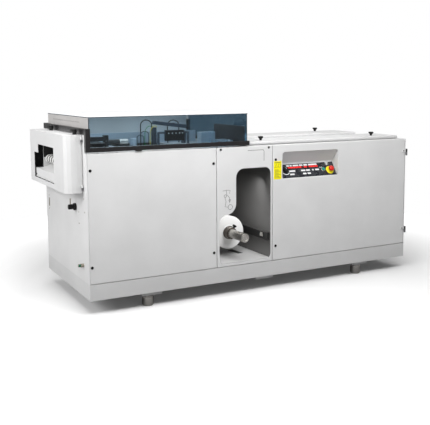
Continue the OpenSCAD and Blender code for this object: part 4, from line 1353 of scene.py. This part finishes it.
@dataclass
class DischargeEnd:
    """The guard, its catches, the belts on their roller, and the chute."""

    roller_at: tuple[float, float] = (-38, 838)
    apron_screws: tuple[tuple[float, float], ...] = ((366, 718), (838, 724))

    def build(self, shop: Workshop) -> None:
        """Makes the guard and what is inside it."""
        shop.eased("discharge_guard", PANEL, 1.2, angle=12.0)
        shop.eased("discharge_belts", BELT, 0.4)
        shop.eased("discharge_chute", CHUTE, 0.8)
        for name in ("guard_catch_front", "guard_catch_rear"):
            shop.eased(name, BLACK_PLASTIC, 1.5, segments=3)
        x, z = self.roller_at
        roller = lathe(
            eased(
                [
                    (0, 331), (7, 331), (7, 349), (24, 350), (25, 352), (25, 733), (24, 735), (7, 736), (7, 754),
                    (0, 754)
                ],
                0.8
            ),
            56
        )
        shop.piece(
            "discharge_roller_turned", roller.placed(along_y(x, z)), STEEL, "discharge_roller", ["discharge_roller"],
            centre=(x, 500, z)
        )
        self.grip(shop)
        self.liners(shop)
        self.belt_edges(shop)

    def belt_edges(self, shop: Workshop) -> None:
        """Black loops on the belts' front sides, painted shade that parts the belts into stripes: an open loop of
        radius r round the roller, on two level runs.
        """
        x, z = self.roller_at
        a = np.radians(np.linspace(90, 270, 19))
        loop = np.concatenate(
            [[(259, 26.8)], 26.8 * np.stack([np.cos(a), np.sin(a)], axis=1), [(259, -26.8)]]
        ) + (x, z)
        edges = [strip(loop, 3.0).placed(front_face(362 + 54 * i)) for i in range(7)]
        shop.piece("belt_edges", Shape.joined(edges), BELT_SHADE_EDGE, "cabinet")

    def liners(self, shop: Workshop) -> None:
        """Black sheets behind the discharge window, painted shade: one inside the guard, one on the chute's rear
        cheek, and a tunnel round the belts in the wall; and the apron's wing with its screws.
        """
        # Painted shade: black sheets over the guard's back and top behind the window.
        guard = Shape.joined(
            [box((-108, 950.6, 677), (-4, 951.9, 1029)), box((-108, 700, 1028.4), (-45, 950, 1029.9))]
        )
        shop.piece("guard_shade_liner", guard, BLACK_STEEL, "discharge_guard")
        # Painted shade on the rear cheek's front face.
        shop.piece("cheek_shade_liner", box((-71.5, 748.2, 846), (-1.5, 748.9, 929.5)), BLACK_STEEL, "cabinet")
        # Painted shade: a black tunnel round the belts inside the wall.
        sides = [
            ((3.2, 851.5, 702), (240, 853, 958)), ((240, 331, 702), (241.5, 853, 958)),
            ((3.2, 331, 956.5), (240, 851.5, 958)), ((3.2, 331, 702), (240, 851.5, 703.5))
        ]
        shop.piece("discharge_shade_tunnel", Shape.joined([box(*s) for s in sides]), BLACK_STEEL, "cabinet")
        shop.piece("apron_wing", box((-99.9, 756.2, 706), (-97, 850, 768)), CHUTE, "cabinet")
        screws = [
            lathe([(0, 0), (6, 0), (6, 1.5), (4, 3), (0, 3)], 20).placed(left_face(-100, y, z))
            for y, z in self.apron_screws
        ]
        shop.piece("apron_screw_heads", Shape.joined(screws), BLACK_STEEL, "cabinet")

    def grip(self, shop: Workshop) -> None:
        """The grip knob on the end wall: a ribbed handle on a flange."""
        place = left_face(0, 253, 564)
        profile = [
            (0, -40), (6, -40), (6, 1), (23, 1), (24, 2), (24, 13), (23, 15), (17, 16), (15.5, 20), (17, 26),
            (17, 44), (15.6, 49), (12, 50), (0, 50)
        ]
        depth = [0, 0, 0, 0, 1, 1, 0, 0, 0, 1.4, 1.4, 0.6, 0, 0]
        shop.piece(
            "grip_knob_ribbed", lathe(profile, 96, 12, depth).placed(place), BLACK_PLASTIC, "grip_knob", ["grip_knob"]
        )


@dataclass
class FilmBay:
    """The bay's lining, the film reel on its spindle, the dancer and the rail."""

    axis: tuple[float, float] = (1113, 287)

    def build(self, shop: Workshop) -> None:
        """Makes the bay and the reel."""
        shop.eased("bay_side_wall", BAY, 0.6)
        shop.eased("bay_back_plate", BAY, 0.8)
        shop.eased("bay_floor", BAY_FLOOR, 0.8)
        shop.eased("bay_rail", BLACK_STEEL, 1.2)
        self.reel(shop)
        self.spindle(shop)
        self.collar(shop)
        self.dancer(shop)
        self.details(shop)

    def details(self, shop: Workshop) -> None:
        """The rail's bright clip, its black front end, and a black strip on the bay floor that paints the shade
        inside a slot.
        """
        clip = Shape.joined([box((1295.6, 70, 268), (1296.9, 112, 284)), box((1296, 76, 284.2), (1300, 106, 296))])
        shop.piece("rail_clip", clip, STEEL, "cabinet")
        end = Shape.joined([box((1301, 24, 248), (1324, 59.9, 304)), box((1299, 59.9, 296.1), (1324, 420, 303))])
        shop.piece("rail_front_end", end, BLACK_STEEL, "cabinet")
        # Painted shade: a black strip standing for the dark inside of a slot in the floor.
        slot = strip([(1194, 372), (1207, 232)], 44)
        shop.piece("floor_slot_shade", slot.placed(top_face(124.05)), BLACK_STEEL, "cabinet")

    def reel(self, shop: Workshop) -> None:
        """The wound film: an annulus with a hard edge, a slightly dished end and a core tube."""
        x, z = self.axis
        ends = [
            (38, 234.4), (46, 234.0), (47, 234.6), (60, 234.9), (90, 234.7), (114, 234.3), (117.2, 234.8), (118, 236)
        ]
        back = [(r, 818 - y) for r, y in ends[::-1]]
        film = lathe([*ends, *back, (38, 234.4)], 96)
        shop.piece("film_roll", film.placed(along_y(x, z)), FILM, "film_spindle", ["film_reel"], centre=(x, 0, z))

    def spindle(self, shop: Workshop) -> None:
        """The spindle with its bright rimmed end cap, and its brake disc at the back."""
        x, z = self.axis
        profile = [
            (0, 3), (11, 3), (13, 5), (13, 6), (23, 6), (23, 1), (24, 0), (30, 0), (31, 1.5), (31, 595), (75, 595),
            (75, 607), (31, 607), (31, 631), (20, 631), (20, 711), (45, 711), (45, 730), (0, 730)
        ]
        shop.piece(
            "spindle_turned", lathe(eased(profile, 0.8), 72).placed(along_y(x, z)), STEEL, "film_spindle",
            ["film_spindle"], centre=(x, 0, z)
        )

    def collar(self, shop: Workshop) -> None:
        """The clamp collar in front of the reel, and its lobed knob."""
        x, z = self.axis
        profile = [
            (31.05, 190), (40, 190), (42, 192), (42, 225), (48, 226), (48, 233.6), (37.8, 233.6), (37.8, 582),
            (31.05, 582), (31.05, 190)
        ]
        shop.piece(
            "collar_turned", lathe(eased(profile, 0.9), 72).placed(along_y(x, z)), COLLAR_STEEL, "film_spindle",
            ["reel_collar"], centre=(x, 0, z)
        )
        out = (math.sin(math.radians(34)), 0.0, math.cos(math.radians(34)))
        place = Place((x, 208, z), (math.cos(math.radians(34)), 0.0, -math.sin(math.radians(34))), (0, 1, 0), out)
        knob = [
            (0, 33), (4, 33), (4, 43), (8, 43), (8, 51), (12, 51.4), (15.4, 53), (16, 55), (16, 61), (14.6, 63.4),
            (11, 64), (0, 64)
        ]
        depth = [0, 0, 0, 0, 0, 2, 3.6, 4, 4, 3.6, 2, 0]
        shop.piece(
            "collar_knob_grip", lathe(knob, 80, 5, depth).placed(place), BLACK_PLASTIC, "collar_knob", ["collar_knob"]
        )

    def dancer(self, shop: Workshop) -> None:
        """The dancer arm and its roller."""
        shop.eased("dancer_arm", BLACK_STEEL, 1.0)
        roller = lathe(
            eased([(8.05, 252), (20, 252), (21, 253), (21, 603), (20, 604), (8.05, 604), (8.05, 252)], 0.6), 56
        )
        shop.piece(
            "dancer_roller_turned", roller.placed(along_y(1120, 470)), STEEL, "dancer_roller", ["dancer_roller"],
            centre=(1120, 0, 470)
        )


@dataclass
class DriveAndElectrics:
    """Motor, pulleys, switchgear and the isolator's handle."""

    def build(self, shop: Workshop) -> None:
        """Dresses what is inside the cabinet and the isolator on its right end."""
        shop.eased("switchgear", SWITCHGEAR, 1.0)
        shop.eased("drive_motor", MOTOR, 1.2)
        shop.eased("motor_pulley", STEEL, 0.8)
        shop.eased("main_shaft", STEEL, 0.8)
        shop.eased("isolator_handle", RED, 1.5, segments=3)


# ---------------------------------------------------------------- studio
@dataclass(frozen=True)
class Lamp:
    """A soft rectangular light: where it hangs, what it is aimed at, its size, power and spread in degrees."""

    name: str
    where: Point
    aim: Point
    size: tuple[float, float]
    power: float
    spread: float = 180.0


@dataclass
class Studio:
    """Camera, floor, lights and surroundings."""

    focal: float = 720.66
    centre_row: float = 170.15
    frame_width: int = 430
    frame_height: int = 425
    yaw: float = 27.616
    pitch: float = 6.465
    roll: float = -0.372
    eye: Point = (-2.5616, -4.7182, 1.4077)
    ambient: float = 0.25
    floor_bounce: float = 0.22
    floor_glow: float = 0.03
    floor_seen: float = 0.84
    floor_radius: float = 3.3
    whitens: tuple[float, float] = (1.5, 2.9)
    rim_glow: float = 0.7
    lamps: tuple[Lamp, ...] = (
        Lamp("front_strip", (-0.5, -1.9, 2.7), (-0.1, -0.5, 0.75), (3.4, 0.8), 82),
        Lamp("left_end_light", (-4.2, -0.3, 2.2), (-1.2, 0.0, 0.7), (2.0, 1.6), 84),
        Lamp("overhead", (0.0, 0.6, 4.0), (0.0, 0.0, 0.5), (6.0, 4.5), 84),
        Lamp("canopy_fill", (-0.7, -0.05, 1.225), (-0.7, -0.05, 0.9), (1.0, 0.6), 2.3),
        Lamp("bay_fill", (-0.06, -0.40, 0.80), (-0.10, -0.24, 0.40), (0.24, 0.08), 1.0, 130),
    )

    def camera(self) -> None:
        """A camera whose axes follow from its yaw, pitch and roll, and whose shift lowers the horizon line."""
        yaw, pitch, roll = (math.radians(a) for a in (self.yaw, self.pitch, self.roll))
        ahead = Vector((math.sin(yaw) * math.cos(pitch), math.cos(yaw) * math.cos(pitch), -math.sin(pitch)))
        right = Vector((math.cos(yaw), -math.sin(yaw), 0.0))
        up = right.cross(ahead)
        across = right * math.cos(roll) + up * math.sin(roll)
        above = up * math.cos(roll) - right * math.sin(roll)
        data = bpy.data.cameras.new("camera")
        data.sensor_fit, data.sensor_width = "HORIZONTAL", 36.0
        data.lens = self.focal * 36.0 / self.frame_width
        data.shift_y = (self.centre_row - self.frame_height / 2) / self.frame_width
        obj = bpy.data.objects.new("camera", data)
        turn = Matrix((across, above, -ahead)).transposed().to_4x4()
        obj.matrix_world = Matrix.Translation(self.eye) @ turn
        bpy.context.scene.collection.objects.link(obj)
        bpy.context.scene.camera = obj

    def floor(self) -> None:
        """A plain pale floor: a disc with its rim at (r cos a, r sin a), whiter from one radius out to another."""
        a = np.linspace(0, 2 * math.pi, 64, endpoint=False)
        disc = np.column_stack([self.floor_radius * np.cos(a), self.floor_radius * np.sin(a), np.zeros(64)])
        mesh = bpy.data.meshes.new("floor")
        mesh.from_pydata(disc.tolist(), [], [tuple(range(64))])
        made = bpy.data.materials.new("floor_white")
        made.use_nodes = True
        nodes, link = made.node_tree.nodes, made.node_tree.links.new
        shader = nodes["Principled BSDF"]
        seen = nodes.new("ShaderNodeLightPath")
        tone = nodes.new("ShaderNodeMix")
        tone.data_type = "RGBA"
        tone.inputs[6].default_value = (*(self.floor_bounce,) * 3, 1.0)
        tone.inputs[7].default_value = (*(self.floor_seen,) * 3, 1.0)
        link(seen.outputs["Is Camera Ray"], tone.inputs[0])
        link(tone.outputs[2], shader.inputs["Base Color"])
        shader.inputs["Roughness"].default_value = 0.9
        shader.inputs["Specular IOR Level"].default_value = 0.1
        shader.inputs["Emission Color"].default_value = (1.0, 1.0, 1.0, 1.0)
        where = nodes.new("ShaderNodeTexCoord")
        radius = nodes.new("ShaderNodeVectorMath")
        radius.operation = "LENGTH"
        link(where.outputs["Object"], radius.inputs[0])
        link(
            nodes_range(nodes, link, radius.outputs["Value"], *self.whitens, self.floor_glow, self.rim_glow),
            shader.inputs["Emission Strength"]
        )
        mesh.materials.append(made)
        obj = bpy.data.objects.new("floor", mesh)
        bpy.context.scene.collection.objects.link(obj)

    @staticmethod
    def hang(lamp: Lamp) -> None:
        """Puts one lamp in the scene, turned towards its aim and unseen by the camera."""
        data = bpy.data.lights.new(lamp.name, "AREA")
        data.shape, data.energy, data.spread = "RECTANGLE", lamp.power, math.radians(lamp.spread)
        data.size, data.size_y = lamp.size
        obj = bpy.data.objects.new(lamp.name, data)
        obj.location = lamp.where
        obj.visible_camera = False
        obj.rotation_euler = (Vector(lamp.aim) - Vector(lamp.where)).to_track_quat("-Z", "Y").to_euler()
        bpy.context.scene.collection.objects.link(obj)

    def lights(self) -> None:
        """Pale surroundings, fully white to the camera only, and the lamps."""
        world = bpy.data.worlds.new("surroundings")
        world.use_nodes = True
        nodes, link = world.node_tree.nodes, world.node_tree.links.new
        background = nodes["Background"]
        seen = nodes.new("ShaderNodeLightPath")
        strength = nodes.new("ShaderNodeMapRange")
        strength.inputs[3].default_value, strength.inputs[4].default_value = self.ambient, 1.0
        link(seen.outputs["Is Camera Ray"], strength.inputs[0])
        link(strength.outputs[0], background.inputs["Strength"])
        background.inputs["Color"].default_value = (1.0, 1.0, 1.0, 1.0)
        bpy.context.scene.world = world
        for lamp in self.lamps:
            self.hang(lamp)

    def build(self) -> None:
        """Sets up the camera, floor and lights, and plain colour management."""
        self.camera()
        self.floor()
        self.lights()
        bpy.context.scene.view_settings.view_transform = "Standard"


def main() -> None:
    """Builds the studio and every sub-assembly in order, and reports each piece."""
    logging.basicConfig(level=logging.INFO, format="%(message)s")
    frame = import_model()
    Studio().build()
    shop = Workshop(frame)
    for part in (
        Underframe(), Walls(), FrontPanels(), ControlStation(), DeckCovers(), Canopy(), WrappingSection(),
        DischargeEnd(), FilmBay(), DriveAndElectrics()
    ):
        start = len(shop.made)
        part.build(shop)
        for name in shop.made[start:]:
            log.info("%s: %s, %d points", type(part).__name__, name, len(bpy.data.objects[name].data.vertices))


if __name__ == "__main__":
    main()
